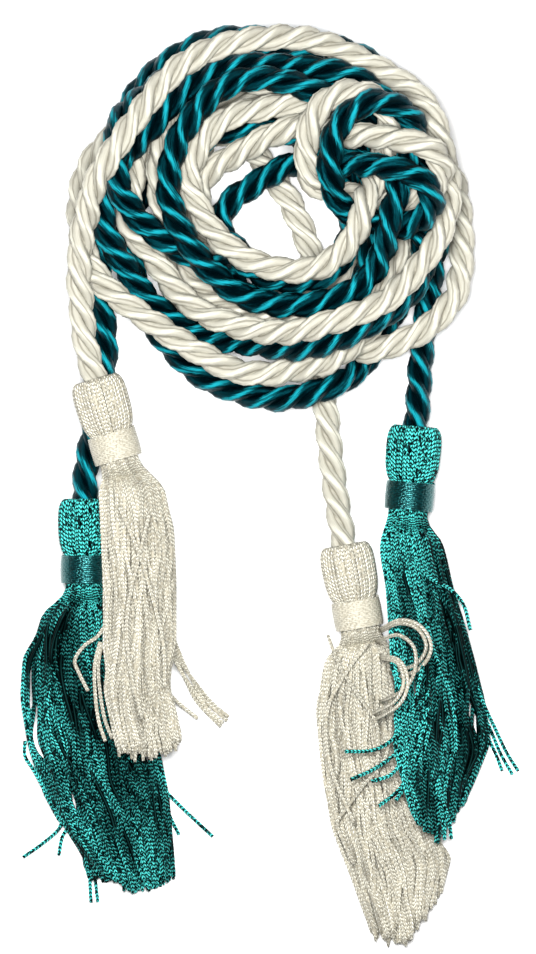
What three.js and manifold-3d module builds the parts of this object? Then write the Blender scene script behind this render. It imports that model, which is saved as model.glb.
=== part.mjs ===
// A double honor cord laid down in a loose coil: one white and one teal rope, tied together
// near their middle in an overhand knot, each rope with a tassel on both ends.
// Millimetres, +Z up. The cord lies on the plane z = 0, seen from above with +Y away.

import * as THREE from "three";
import { mergeVertices } from "three/addons/utils/BufferGeometryUtils.js";
import Module from "manifold-3d";

const wasm = await Module();
wasm.setup();

// Driving dimensions
const ROPE = {
  diameter: 7.3,
  sides: 8,
  clearance: 0.6, // left between two ropes that press on each other
  layerShare: 1, // first height of one layer, as a share of the pitch of two touching ropes
  sample: 3.5, // spacing of the points that the ropes are settled with
  longestStep: 10.5,
  sharpestTurn: 15, // degrees between two steps of a tube
};

const HEAD = {
  diameter: 14.4,
  length: 14.2,
  crownDiameter: 10.6,
  segments: 12,
  socketDepth: 5,
  socketClearance: 0.35, // between the rope's end and the bore that holds it
};

const WRAP = {
  length: 7.6,
  wall: 1.1,
  clearance: 0.3, // round the neck, and at both ends
};

const NECK = {
  diameter: 11,
  reach: 3, // how far the neck runs on inside the skirt
};

const SKIRT = {
  length: 82,
  spread: 36, // widest lying width
  locks: 6,
  thickness: 12.6, // where it leaves the neck
  endThickness: 6.4,
  lockOverlap: 1.42, // width of a lock over the pitch of the locks
  edgeThinning: 0.5, // how much thinner the outermost locks are
  ragged: 0.05, // share of the length by which the locks' ends differ
};

const COLOURS = {
  whiteRope: 0xece7d8,
  whiteTassel: 0xe4decd,
  whiteWrap: 0xd6cfbf,
  tealRope: 0x0b5f70,
  tealTassel: 0x1fa7a3,
  tealWrap: 0x12808a,
};

// Where each tassel lies: the middle of its crown, the angle that it points away from
// straight down the page, and its skirt from the neck to the tips. The skirt's places and
// widths are shares of its length and spread, and its lifts shares of the head's diameter:
// a white skirt lies on the teal one at the left, and a teal one on the white one at the right.
const TASSELS = {
  whiteLeft: {
    crown: [-42.4, 25.2],
    turn: 16.3,
    lift: 0.66,
    // down, across, half width, lift of the left side, lift of the right side
    skirt: [
      [0.0, 0.0, 0.33, 0.72, 0.72],
      [0.09, 0.042, 0.47, 0.84, 0.8],
      [0.22, 0.058, 0.51, 0.96, 0.9],
      [0.38, 0.065, 0.51, 0.96, 0.94],
      [0.58, 0.065, 0.51, 0.95, 0.92],
      [0.74, 0.058, 0.47, 0.93, 0.88],
      [0.93, 0.098, 0.47, 0.86, 0.8],
    ],
  },
  tealLeft: {
    crown: [-45.3, -6.6],
    turn: 0,
    lift: 0,
    skirt: [
      [0.0, 0.0, 0.34, 0.09, 0.09],
      [0.11, -0.006, 0.65, 0, 0],
      [0.24, -0.02, 0.79, 0, 0],
      [0.37, -0.006, 0.88, 0, 0],
      [0.53, 0.026, 0.91, 0, 0],
      [0.69, 0.065, 0.88, 0, 0],
      [0.98, 0.149, 0.5, 0, 0],
    ],
  },
  tealRight: {
    crown: [42.4, 12.7],
    turn: -5,
    lift: 0,
    skirt: [
      [0.0, 0.0, 0.33, 0.09, 0.09],
      [0.117, 0.012, 0.46, 0.05, 0],
      [0.236, 0.035, 0.47, 0.4, 0],
      [0.4, 0.065, 0.55, 0.9, 0],
      [0.6, 0.095, 0.64, 0.96, 0],
      [0.79, 0.11, 0.68, 0.96, 0],
      [1.03, 0.1, 0.4, 0.92, 0],
    ],
  },
  whiteRight: {
    crown: [23.6, -18.8],
    turn: 10.6,
    lift: 0,
    skirt: [
      [0.0, 0.0, 0.37, 0.09, 0.09],
      [0.1, 0.0, 0.5, 0, 0],
      [0.26, 0.0, 0.62, 0, 0],
      [0.456, 0.03, 0.67, 0, 0],
      [0.65, 0.072, 0.7, 0, 0],
      [0.81, 0.135, 0.7, 0, 0],
      [0.99, 0.152, 0.5, 0, 0],
    ],
  },
};

// The routes, from the right tassel to the left one: x, y, layer above the surface, and 1
// where the stretch shows from above or 0 where other turns hide it.
const WHITE_ROUTE = [
  [20, 4, 0, 1], [18.5, 19, 0, 1], [17, 33.5, 0, 1], [16, 46.5, 0, 1], [14.5, 60, 0, 1],
  [11.5, 67.5, 0, 1], [9, 73, 0, 1], [5, 79, 0, 1], [0.5, 85, 0, 1], [-4, 89.5, 0, 1],
  [-10, 93.5, 0, 0], [-17, 94, 0, 0], [-22, 89.5, 0, 0], [-24.5, 82, 0, 0], [-25, 73, 0, 0],
  [-23.5, 64, 0, 0], [-18.5, 54, 0, 0], [-10.5, 45.5, 0, 0], [-1, 40, 0.3, 0], [7.5, 36.5, 0.6, 0],
  [15, 35, 1, 0], [22.5, 34.2, 1, 1], [30, 34, 1, 1], [37.5, 35.5, 1, 1], [44, 38.5, 1, 1],
  [48.6, 43.2, 1, 1], [52, 49.5, 1, 1], [53.6, 56.7, 0.7, 1], [53.8, 64, 0.3, 1], [53, 71, 0.3, 1],
  [50.5, 78, 0.6, 1], [45.5, 85.5, 1, 0], [38.5, 91, 1, 0], [31, 96, 0.6, 0], [23, 102, 0, 0],
  [10.5, 106, 0, 0], [-3, 106.5, 0, 0], [-15, 103.5, 0, 0], [-26, 94.5, 0.4, 0],
  [-35.5, 89.5, 1, 0], [-42.5, 84, 0.8, 1], [-46, 77, 0.3, 1], [-46.8, 69, 0, 1],
  [-45, 60.5, 0.6, 1], [-41, 54.5, 1, 1], [-35.5, 48, 1, 1], [-28, 41.5, 1, 1], [-17.5, 34.5, 1, 1],
  [-7, 30, 1, 1], [3.5, 28, 1, 1], [14.5, 29.5, 1.4, 1], [23.5, 33.5, 2, 1], [29.5, 38, 1.9, 1],
  [34, 43.5, 1, 0], [38, 50.5, 0, 0], [38.5, 58.5, 0, 0], [38, 66.5, 0, 0], [37.5, 76, 0, 0],
  [34.5, 85, 0, 0], [29.5, 92, 0.3, 0], [21, 96, 1, 0], [12, 98, 1.8, 1], [5, 97.5, 2, 1],
  [-1.5, 96.5, 2, 1], [-8, 94.5, 2, 1], [-13.5, 90.5, 2, 0], [-17.5, 85, 1.8, 0],
  [-18.5, 78.5, 1.8, 0], [-16, 72.5, 2, 1], [-12.5, 66, 2, 1], [-7.5, 60.5, 2, 1], [-2, 57, 2, 1],
  [3.5, 55, 2, 1], [11.5, 54, 2, 1], [19, 56, 2, 1], [23.5, 60, 2, 1], [27, 65, 2.4, 1],
  [28, 70, 3, 1], [29, 76, 3, 1], [32.5, 82.5, 2.6, 1], [35.5, 87.5, 2.3, 1], [36, 94, 2.3, 1],
  [33, 98.5, 2.6, 1], [30, 100, 3, 1], [26, 101, 3.4, 1], [21, 100, 3.4, 1], [16.5, 96.5, 3.4, 1],
  [14, 90.5, 3.4, 1], [14.5, 83.5, 3.2, 1], [17.5, 78, 2.6, 1], [23.5, 74, 2, 1],
  [31.5, 72.5, 2, 1], [39.5, 71.5, 2, 1], [45.5, 74, 2, 1], [49, 79, 2.6, 1], [48, 83.5, 3.4, 1],
  [45, 86.5, 4, 1], [38, 88, 4, 1], [32, 88, 3.8, 1], [25.5, 87.5, 3, 1], [18.5, 91, 2.1, 1],
  [12.5, 94, 2, 1], [7, 91.5, 2, 1], [1.5, 89, 2, 1], [-5.5, 85, 2, 1], [-11.5, 81.5, 2, 1],
  [-15, 77, 1.6, 1], [-15.5, 72, 1.2, 0], [-14.5, 64.5, 0.6, 0], [-10, 58, 0.6, 0],
  [-1, 51.5, 0.6, 0], [9, 49, 0.8, 0], [18.5, 49.5, 1, 1], [25, 53, 0.5, 0], [29, 59.5, 0, 0],
  [30, 68, 0, 0], [29.5, 77, 0, 0], [27, 86.5, 0, 0], [22.5, 95, 0.5, 0], [14.5, 100.5, 1, 0],
  [3, 104, 1, 0], [-6.5, 106.5, 1, 1], [-13.5, 104.5, 1, 1], [-19, 101, 1, 1], [-22.5, 95, 1, 1],
  [-25, 87, 1, 1], [-26, 78.5, 1, 1], [-25, 71, 1, 1], [-22, 63, 1, 0], [-16, 54.5, 1, 0],
  [-8, 48.5, 1, 1], [1.5, 43.5, 1, 0], [13, 42, 2, 0], [23.5, 43.5, 1.6, 0], [32, 49.5, 1, 0],
  [37.5, 58, 1, 0], [41, 67.5, 1, 0], [40, 78.5, 1, 0], [31.5, 89, 0.8, 0], [24.5, 97.5, 0.3, 0],
  [12, 96, 0, 0], [-0.5, 99, 0, 0], [-12, 97.5, 0, 0], [-22.5, 94, 0.5, 0], [-29, 91, 1, 1],
  [-31.5, 83.5, 1, 1], [-32.5, 76, 1, 1], [-34, 70, 1.3, 1], [-34, 65, 1.6, 1], [-30, 59, 2, 1],
  [-24, 51.5, 2, 1], [-15.5, 44.5, 2, 1], [-6.5, 40.5, 2, 1], [3.5, 38.5, 2.3, 1],
  [14.5, 39, 2.8, 1], [25, 41.5, 2.3, 1], [33.5, 45.5, 2, 1], [39.5, 51, 2.2, 1], [45, 58, 2.4, 1],
  [49, 65.5, 2.4, 1], [50, 73, 2.4, 1], [48.8, 80.5, 2.4, 1], [46.4, 88.2, 2.4, 1],
  [42, 96.8, 2.4, 1], [35.8, 104, 2.2, 1], [27.8, 109.6, 2, 1], [18.6, 113.2, 2, 1],
  [9, 114.5, 2, 1], [-1, 114.5, 2, 1], [-9.5, 113, 2, 1], [-17.5, 109.5, 2, 1], [-24, 104, 2, 1],
  [-29.5, 97, 2, 1], [-34.5, 90, 2, 1], [-39, 82.5, 2, 1], [-42.5, 76, 2, 1], [-44.5, 69, 2, 1],
  [-46, 62, 2, 1], [-46.5, 54, 2, 1], [-46, 46, 1.5, 1], [-45.6, 38.5, 1.3, 1],
];

const TEAL_ROUTE = [
  [43.6, 29, 0, 1], [44.6, 38.5, 0, 1], [46, 46.5, 0, 1], [47, 54, 0, 1], [48.5, 63, 0.9, 0],
  [48, 73, 1.1, 0], [44, 84, 1.8, 0], [38, 93, 2, 0], [28, 101.5, 1.6, 0], [16.5, 107, 1.1, 1],
  [3.5, 109, 1.2, 1], [-8, 108, 1.2, 1], [-18, 102, 1.2, 0], [-27.5, 93, 1.2, 0], [-36, 82, 1.2, 0],
  [-40.5, 72, 1.1, 1], [-39, 64, 1, 1], [-36, 57, 1, 1], [-31.5, 50, 1, 1], [-24.5, 43, 1, 1],
  [-15.5, 37.5, 1, 1], [-5.5, 34.5, 1, 1], [3.5, 33.5, 1.2, 1], [17, 34.5, 1.9, 1],
  [25, 37.5, 1.5, 1], [31.5, 41, 1.6, 1], [37.5, 45.5, 1.8, 1], [43, 52.5, 1.7, 0],
  [42.5, 62, 1.9, 0], [41.5, 72, 1.9, 0], [39, 83, 1.8, 0], [33.5, 92, 1.6, 0], [28, 100.5, 1.4, 0],
  [21, 103, 2, 0], [14.5, 103.5, 2.2, 1], [3.5, 105, 2.5, 1], [-4, 104.5, 2.8, 1],
  [-12, 101, 2.8, 1], [-17.5, 94.5, 2.8, 1], [-21, 86.5, 2.8, 1], [-23, 76, 2.8, 1],
  [-21.5, 68.5, 2.8, 1], [-17.5, 61, 2.8, 1], [-11.5, 54, 2.8, 1], [-4, 47.5, 2.5, 1],
  [3.5, 45, 2.6, 1], [11.5, 44, 3, 1], [22.5, 47, 2.6, 1], [30, 52.5, 2, 1], [33.5, 59.5, 2, 1],
  [34.5, 65, 2.5, 1], [34.5, 72, 3, 1], [36, 77, 2.8, 1], [38.5, 82.5, 2.4, 1], [40.5, 87, 2.6, 1],
  [40.5, 91.5, 3, 1], [37.5, 96, 3.6, 1], [33, 98.5, 3.8, 1], [27.5, 98, 3.8, 1],
  [23.5, 95, 3.8, 1], [20.5, 89, 3.6, 1], [20, 82.5, 3.4, 1], [21, 76.5, 2.8, 1], [25, 72, 2.1, 1],
  [31.5, 69, 2, 1], [38, 67.5, 2, 1], [44.5, 69.5, 2.4, 1], [47, 73.5, 3, 1], [44.5, 78, 3.8, 1],
  [38, 80.5, 4, 1], [31.5, 81.5, 3.8, 1], [25, 82.5, 3, 1], [18.5, 83.5, 2.2, 1], [11, 83, 2, 1],
  [5, 80.5, 2, 1], [-1.5, 76.5, 2, 1], [-7.5, 72, 1.6, 1], [-10.5, 66, 1, 0], [-9, 60, 1, 0],
  [-3, 55, 1.5, 1], [6.5, 51.5, 1.5, 1], [15.5, 52, 1.4, 1], [21.5, 55.5, 1, 0], [26, 62.5, 1, 0],
  [27, 70.5, 1, 0], [27, 81, 1, 0], [25.5, 91.5, 1, 0], [21, 102.5, 1, 0], [15.5, 109.5, 1, 0],
  [9, 111, 1, 0], [-3, 110.5, 1, 0], [-14, 106.5, 1, 0], [-23.5, 99.5, 1, 0], [-30.5, 91.5, 1.5, 0],
  [-35, 84.5, 2, 1], [-36.3, 80, 2, 1], [-36, 76, 2, 1], [-34, 72, 2.1, 1], [-30, 67, 2.2, 1],
  [-24.5, 62.5, 2.2, 1], [-18.5, 58.5, 1.8, 1], [-11.5, 52.5, 1, 0], [-3, 47.5, 0.7, 0],
  [7.5, 44.5, 1.3, 0], [18.5, 46, 1.3, 0], [28, 52, 1, 0], [33.5, 61, 1, 0], [34, 72, 1, 0],
  [29, 84.5, 1.1, 0], [23.5, 87.5, 1.1, 0], [17.5, 89.5, 1, 0], [9, 92.5, 1, 0], [-1.5, 91.5, 1, 1],
  [-9, 91.5, 1, 1], [-14, 89, 0.8, 1], [-20, 86, 0.2, 0], [-27.5, 81.5, 0, 0], [-32.5, 73, 0, 0],
  [-33.5, 61, 0, 0], [-30.5, 49.5, 0, 0], [-24, 37, 0, 0], [-15, 27, 0, 1], [-6.5, 23, 0, 1],
  [3.5, 20.5, 0.3, 1], [11, 21, 0.9, 1], [17.5, 23, 1.1, 1], [24.5, 27.5, 0.5, 1], [28.5, 33, 0, 1],
  [32.5, 37.5, 0, 1], [35.5, 42, 0, 1], [37.5, 47, 0, 1], [40, 54, 0, 0], [43.5, 61, 0, 0],
  [45, 70, 0, 0], [42.5, 81, 0, 0], [36.5, 91.5, 0, 0], [28, 100.5, 0, 0], [19.5, 109, 0, 0],
  [10.5, 113, 0, 0], [3.5, 115.5, 0, 1], [-3, 116.5, 0, 1], [-9.5, 116, 0, 1], [-16, 114, 0, 1],
  [-22, 110, 0, 1], [-27, 105.5, 0, 1], [-31.5, 101, 0, 1], [-35, 95, 0, 1], [-38.5, 89, 0, 0],
  [-41, 78, 0, 0], [-41.5, 65, 0, 0], [-42, 56, 0, 0], [-41.5, 49.5, 0, 1], [-40.5, 41.5, 0, 1],
  [-40, 33.5, 0, 1], [-41, 24.5, 0, 1], [-43, 12.5, 0, 1],
];

const PITCH = ROPE.diameter + ROPE.clearance;
const headRise = (HEAD.diameter / 2) * Math.cos(Math.PI / HEAD.segments);

// The frame of a tassel: its crown, the way it points and the way to its right hand side.
function tasselFrame(tassel) {
  const angle = THREE.MathUtils.degToRad(tassel.turn);
  const along = new THREE.Vector3(Math.sin(angle), -Math.cos(angle), 0);
  const across = new THREE.Vector3(Math.cos(angle), Math.sin(angle), 0);
  const height = tassel.lift * HEAD.diameter + headRise;
  const crown = new THREE.Vector3(tassel.crown[0], tassel.crown[1], height);
  return { along, across, crown };
}

// The two points that lead a rope straight into the socket of a tassel's head.
function socketPoints(tassel) {
  const { along, crown } = tasselFrame(tassel);
  const inside = crown.clone().addScaledVector(along, HEAD.socketDepth - WRAP.clearance);
  const outside = crown.clone().addScaledVector(along, -ROPE.diameter);
  return [inside, outside];
}

// A route's points through both sockets, with a second list that says how firmly each is held.
function routePoints(route, first, last) {
  const rows = route.map(([x, y, layer, seen]) => ({
    place: new THREE.Vector3(x, y, ROPE.diameter / 2 + layer * ROPE.layerShare * PITCH),
    seen,
  }));
  const start = socketPoints(first).map((place) => ({ place, seen: 1 }));
  const finish = socketPoints(last).map((place) => ({ place, seen: 1 })).reverse();
  return [...start, ...rows, ...finish];
}

// Evenly spaced samples of the spline through a route's points.
function sampleRoute(points) {
  const curve = new THREE.CatmullRomCurve3(points.map((point) => point.place), false, "centripetal");
  const fine = 16;
  const spans = points.length - 1;
  const dense = curve.getPoints(spans * fine);
  const run = [0];
  for (let i = 1; i < dense.length; i += 1) {
    const flat = Math.hypot(dense[i].x - dense[i - 1].x, dense[i].y - dense[i - 1].y);
    run.push(run[i - 1] + flat);
  }
  const count = Math.round(run.at(-1) / ROPE.sample);
  const samples = [];
  let k = 0;
  for (let i = 0; i <= count; i += 1) {
    const target = (run.at(-1) * i) / count;
    while (k < dense.length - 2 && run[k + 1] < target) k += 1;
    const share = (target - run[k]) / (run[k + 1] - run[k]);
    const at = (k + share) / fine;
    const row = Math.min(Math.floor(at), spans - 1);
    const seen = THREE.MathUtils.lerp(points[row].seen, points[row + 1].seen, at - row);
    samples.push({ place: dense[k].clone().lerp(dense[k + 1], share), seen });
  }
  return samples;
}

const SETTLING = {
  sweeps: 420,
  closing: 140, // further sweeps that mostly clear what still overlaps
  falling: 0.85, // share of the sweeps during which the ropes sink
  sink: 0.25,
  holdSeen: 0.25,
  holdHidden: 0.12,
  yielding: 0.5, // how far what shows gives way, next to what is hidden
  longestGap: 1.2, // share of the samples' spacing that a rope may stretch to
  closingHold: 0.1, // share of the hold that stays in the closing sweeps
  evening: 0.3,
  closingEvening: 0.08,
  contactPasses: 3,
  overshoot: 1.3,
  reach: 1.35, // pairs nearer than this many pitches are watched
  refresh: 8, // sweeps between two searches for such pairs
  ownReach: 1.9, // pitches along one rope within which it can't meet itself
  pinned: 4, // samples at each end that stay in line with the socket
};

// Pairs of samples that are near each other and don't follow one another on one rope.
function nearPairs(place, rope) {
  const limit = (PITCH * SETTLING.reach) ** 2;
  const skip = Math.ceil((SETTLING.ownReach * PITCH) / ROPE.sample);
  const pairs = [];
  for (let i = 0; i < place.length; i += 1) {
    for (let j = i + 1; j < place.length; j += 1) {
      if (rope[i] === rope[j] && j - i < skip) continue;
      if (place[i].distanceToSquared(place[j]) < limit) pairs.push([i, j]);
    }
  }
  return pairs;
}

// Pushes pairs that overlap apart, each sample by the mean of what its pairs ask for.
function pushApart(place, fixed, give, pairs) {
  const push = place.map(() => new THREE.Vector3());
  const count = new Array(place.length).fill(0);
  const gap = new THREE.Vector3();
  for (const [i, j] of pairs) {
    gap.subVectors(place[i], place[j]);
    const distance = gap.length();
    if (distance >= PITCH) continue;
    gap.multiplyScalar((PITCH - distance) / distance);
    const share = give[i] / (give[i] + give[j]);
    push[i].addScaledVector(gap, share);
    push[j].addScaledVector(gap, share - 1);
    count[i] += 1;
    count[j] += 1;
  }
  place.forEach((point, i) => {
    if (fixed[i]) return;
    if (count[i] > 0) point.addScaledVector(push[i], SETTLING.overshoot / count[i]);
    point.z = Math.max(point.z, ROPE.diameter / 2);
  });
}

// Pulls neighbours on one rope together again where it has stretched.
function rejoin(place, fixed, from, to) {
  const longest = ROPE.sample * SETTLING.longestGap;
  const step = new THREE.Vector3();
  const pull = place.slice(from, to).map(() => new THREE.Vector3());
  for (let i = 0; i < pull.length - 1; i += 1) {
    step.subVectors(place[from + i + 1], place[from + i]);
    const length = step.length();
    if (length <= longest) continue;
    step.multiplyScalar((length - longest) / length / 2);
    pull[i].add(step);
    pull[i + 1].sub(step);
  }
  pull.forEach((move, i) => {
    if (fixed[from + i]) return;
    place[from + i].add(move);
    place[from + i].z = Math.max(place[from + i].z, ROPE.diameter / 2);
  });
}

// Evens one rope: its height directly, and in plan how far it has moved from its home.
function even(place, home, fixed, from, to, strength) {
  const before = place.slice(from, to).map((point) => point.clone());
  const moved = before.map((point, i) => point.clone().sub(home[from + i]));
  for (let i = 1; i < before.length - 1; i += 1) {
    if (fixed[from + i]) continue;
    const point = place[from + i];
    point.x += strength * ((moved[i - 1].x + moved[i + 1].x) / 2 - moved[i].x);
    point.y += strength * ((moved[i - 1].y + moved[i + 1].y) / 2 - moved[i].y);
    point.z += strength * ((before[i - 1].z + before[i + 1].z) / 2 - before[i].z);
  }
}

// Lets the ropes down on the surface and on each other, turn by turn, in the order of their
// layers. What shows keeps its place in plan, and what is hidden gives way.
function settle(ropes) {
  const samples = ropes.flat();
  const rope = ropes.flatMap((list, index) => list.map(() => index));
  const place = samples.map((sample) => sample.place.clone());
  const home = samples.map((sample) => sample.place.clone());
  const fixed = ropes.flatMap((list) =>
    list.map((_, i) => i < SETTLING.pinned || i >= list.length - SETTLING.pinned)
  );
  const give = samples.map((sample) => (sample.seen > 0.5 ? SETTLING.yielding : 1));
  const ends = [];
  let from = 0;
  for (const list of ropes) {
    ends.push([from, from + list.length]);
    from += list.length;
  }
  let pairs = [];
  for (let sweep = 0; sweep < SETTLING.sweeps + SETTLING.closing; sweep += 1) {
    if (sweep % SETTLING.refresh === 0) pairs = nearPairs(place, rope);
    const closing = sweep >= SETTLING.sweeps;
    const sink = sweep < SETTLING.sweeps * SETTLING.falling ? SETTLING.sink : 0;
    const evening = closing ? SETTLING.closingEvening : SETTLING.evening;
    place.forEach((point, i) => {
      if (fixed[i]) return;
      let hold = samples[i].seen > 0.5 ? SETTLING.holdSeen : SETTLING.holdHidden;
      if (closing) hold *= SETTLING.closingHold;
      point.x += hold * (home[i].x - point.x);
      point.y += hold * (home[i].y - point.y);
      point.z -= sink;
    });
    for (const [a, b] of ends) even(place, home, fixed, a, b, evening);
    for (let pass = 0; pass < SETTLING.contactPasses; pass += 1) {
      pushApart(place, fixed, give, pairs);
      for (const [a, b] of ends) rejoin(place, fixed, a, b);
    }
  }
  return ends.map(([a, b]) => place.slice(a, b));
}

// A settled rope as a curve whose steps are short where it bends and long where it runs straight.
class LaidRope extends THREE.Curve {
  constructor(points) {
    super();
    const sharpest = THREE.MathUtils.degToRad(ROPE.sharpestTurn);
    this.points = [points[0]];
    let turned = 0;
    for (let i = 1; i < points.length - 1; i += 1) {
      const before = points[i].clone().sub(points[i - 1]);
      const after = points[i + 1].clone().sub(points[i]);
      turned += before.angleTo(after);
      const length = points[i].distanceTo(this.points.at(-1));
      if (turned < sharpest && length + after.length() < ROPE.longestStep + 0.5) continue;
      this.points.push(points[i]);
      turned = 0;
    }
    this.points.push(points.at(-1));
  }

  get steps() {
    return this.points.length - 1;
  }

  getPoint(share, target = new THREE.Vector3()) {
    const at = share * this.steps;
    const i = Math.min(Math.floor(at), this.steps - 1);
    return target.copy(this.points[i]).lerp(this.points[i + 1], at - i);
  }

  getPointAt(share, target) {
    return this.getPoint(share, target);
  }

  getTangentAt(share, target = new THREE.Vector3()) {
    const i = Math.round(share * this.steps);
    const before = this.points[Math.max(i - 1, 0)];
    const after = this.points[Math.min(i + 1, this.steps)];
    return target.copy(after).sub(before).normalize();
  }
}

function ropeGeometry(points) {
  const section = new THREE.Shape();
  for (let i = 0; i < ROPE.sides; i += 1) {
    const angle = ((i + 0.5) / ROPE.sides) * Math.PI * 2;
    const x = (Math.cos(angle) * ROPE.diameter) / 2;
    const y = (Math.sin(angle) * ROPE.diameter) / 2;
    if (i === 0) section.moveTo(x, y);
    else section.lineTo(x, y);
  }
  section.closePath();
  const path = new LaidRope(points);
  return new THREE.ExtrudeGeometry(section, {
    steps: path.steps,
    extrudePath: path,
    bevelEnabled: false,
    curveSegments: 1,
  });
}

function toManifold(geometry) {
  const bare = geometry.clone();
  bare.deleteAttribute("normal");
  bare.deleteAttribute("uv");
  const merged = mergeVertices(bare, 1e-4);
  return new wasm.Manifold(
    new wasm.Mesh({
      numProp: 3,
      vertProperties: new Float32Array(merged.attributes.position.array),
      triVerts: new Uint32Array(merged.index.array),
    })
  );
}

function toGeometry(solid) {
  const mesh = solid.getMesh();
  const geometry = new THREE.BufferGeometry();
  const position = new Float32Array(mesh.numVert * 3);
  for (let i = 0; i < mesh.numVert; i += 1) {
    for (let k = 0; k < 3; k += 1) position[i * 3 + k] = mesh.vertProperties[i * mesh.numProp + k];
  }
  geometry.setAttribute("position", new THREE.BufferAttribute(position, 3));
  geometry.setIndex(new THREE.BufferAttribute(new Uint32Array(mesh.triVerts), 1));
  return geometry.toNonIndexed();
}

// A body turned on the tassel's own axis: its profile holds [distance down, radius] pairs.
function turned(profile, frame) {
  const points = profile.map(([down, radius]) => new THREE.Vector2(radius, down));
  const geometry = new THREE.LatheGeometry(points, HEAD.segments, Math.PI / HEAD.segments);
  const third = frame.across.clone().cross(frame.along);
  const basis = new THREE.Matrix4().makeBasis(frame.across, frame.along, third);
  basis.setPosition(frame.crown);
  geometry.applyMatrix4(basis);
  return geometry;
}

// The head with its neck, and the bore in the crown that the rope's end sits in.
function headSolid(frame) {
  const crown = HEAD.crownDiameter / 2;
  const widest = HEAD.diameter / 2;
  const neck = NECK.diameter / 2;
  const neckEnd = HEAD.length + WRAP.length + NECK.reach;
  const outside = turned(
    [
      [0, 0],
      [0, crown],
      [HEAD.length * 0.1, (crown + widest) / 2],
      [HEAD.length * 0.28, widest],
      [HEAD.length * 0.78, widest],
      [HEAD.length, neck + WRAP.wall],
      [HEAD.length, neck],
      [neckEnd, neck],
      [neckEnd, 0],
    ],
    frame
  );
  const bore = ROPE.diameter / 2 + HEAD.socketClearance;
  const socket = turned(
    [
      [-1, 0],
      [-1, bore],
      [HEAD.socketDepth, bore],
      [HEAD.socketDepth, 0],
    ],
    frame
  );
  return toManifold(outside).subtract(toManifold(socket));
}

// Where the lift of a skirt's left side has died out, on the scale of -1 to 1 across it.
const LIFT_ENDS = 0.35;

// Shares of a lock's width and thickness, round its section from the flat underside.
const LOCK_SECTION = [
  [-0.42, 0],
  [0.42, 0],
  [0.5, 0.3],
  [0.36, 0.78],
  [0.12, 1],
  [-0.12, 1],
  [-0.36, 0.78],
  [-0.5, 0.3],
];

// A closed body through rings of points, each ring of one length.
function loft(rings) {
  const sides = rings[0].length;
  const position = rings.flat().flatMap((point) => [point.x, point.y, point.z]);
  const index = [];
  for (let r = 0; r < rings.length - 1; r += 1) {
    for (let i = 0; i < sides; i += 1) {
      const a = r * sides + i;
      const b = r * sides + ((i + 1) % sides);
      index.push(a, b, b + sides, a, b + sides, a + sides);
    }
  }
  const last = (rings.length - 1) * sides;
  for (let i = 1; i < sides - 1; i += 1) {
    index.push(0, i + 1, i);
    index.push(last, last + i, last + i + 1);
  }
  const geometry = new THREE.BufferGeometry();
  geometry.setAttribute("position", new THREE.Float32BufferAttribute(position, 3));
  geometry.setIndex(index);
  return geometry;
}

// One lock of a skirt. Its side runs from -1 at the left edge to 1 at the right edge.
function lockGeometry(tassel, frame, number) {
  const side = ((number + 0.5) / SKIRT.locks) * 2 - 1;
  const start = HEAD.length + WRAP.length + 2 * WRAP.clearance;
  const neck = frame.crown.clone().addScaledVector(frame.along, start);
  const cut = 1 - SKIRT.ragged * ((number * 2) % 3);
  const rings = tassel.skirt.map(([down, across, half, left, right], row) => {
    const isLast = row === tassel.skirt.length - 1;
    const reach = down * SKIRT.length * (isLast ? cut : 1);
    const width = half * SKIRT.spread;
    const blend = Math.min(down / 0.12, 1);
    const sideways = frame.across.clone().lerp(new THREE.Vector3(1, 0, 0), blend).normalize();
    const middle = neck.clone();
    middle.x += across * SKIRT.length;
    middle.y -= reach;
    middle.addScaledVector(sideways, (side * width) / 2);
    middle.z = HEAD.diameter * (right + (left - right) * Math.max((LIFT_ENDS - side) / (LIFT_ENDS + 1), 0));
    const thinning = 1 - SKIRT.edgeThinning * side * side;
    const thickness = THREE.MathUtils.lerp(SKIRT.thickness, SKIRT.endThickness, Math.min(down, 1));
    const lockWidth = (width / SKIRT.locks) * SKIRT.lockOverlap;
    return LOCK_SECTION.map(([u, v]) => {
      const point = middle.clone().addScaledVector(sideways, u * lockWidth);
      point.z += v * thickness * thinning;
      return point;
    });
  });
  return loft(rings);
}

function tasselGeometry(tassel) {
  const frame = tasselFrame(tassel);
  let solid = headSolid(frame);
  for (let i = 0; i < SKIRT.locks; i += 1) {
    solid = solid.add(toManifold(lockGeometry(tassel, frame, i)));
  }
  return toGeometry(solid);
}

function wrapGeometry(tassel) {
  const inner = NECK.diameter / 2 + WRAP.clearance;
  const outer = inner + WRAP.wall;
  const top = HEAD.length + WRAP.clearance;
  const bottom = HEAD.length + WRAP.length;
  return turned(
    [
      [top, inner],
      [top, outer],
      [bottom, outer],
      [bottom, inner],
      [top, inner],
    ],
    tasselFrame(tassel)
  );
}

function addPiece(group, name, geometry, color, roughness) {
  const material = new THREE.MeshStandardMaterial({ color, roughness, metalness: 0 });
  const mesh = new THREE.Mesh(geometry, material);
  mesh.name = name;
  group.add(mesh);
}

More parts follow.
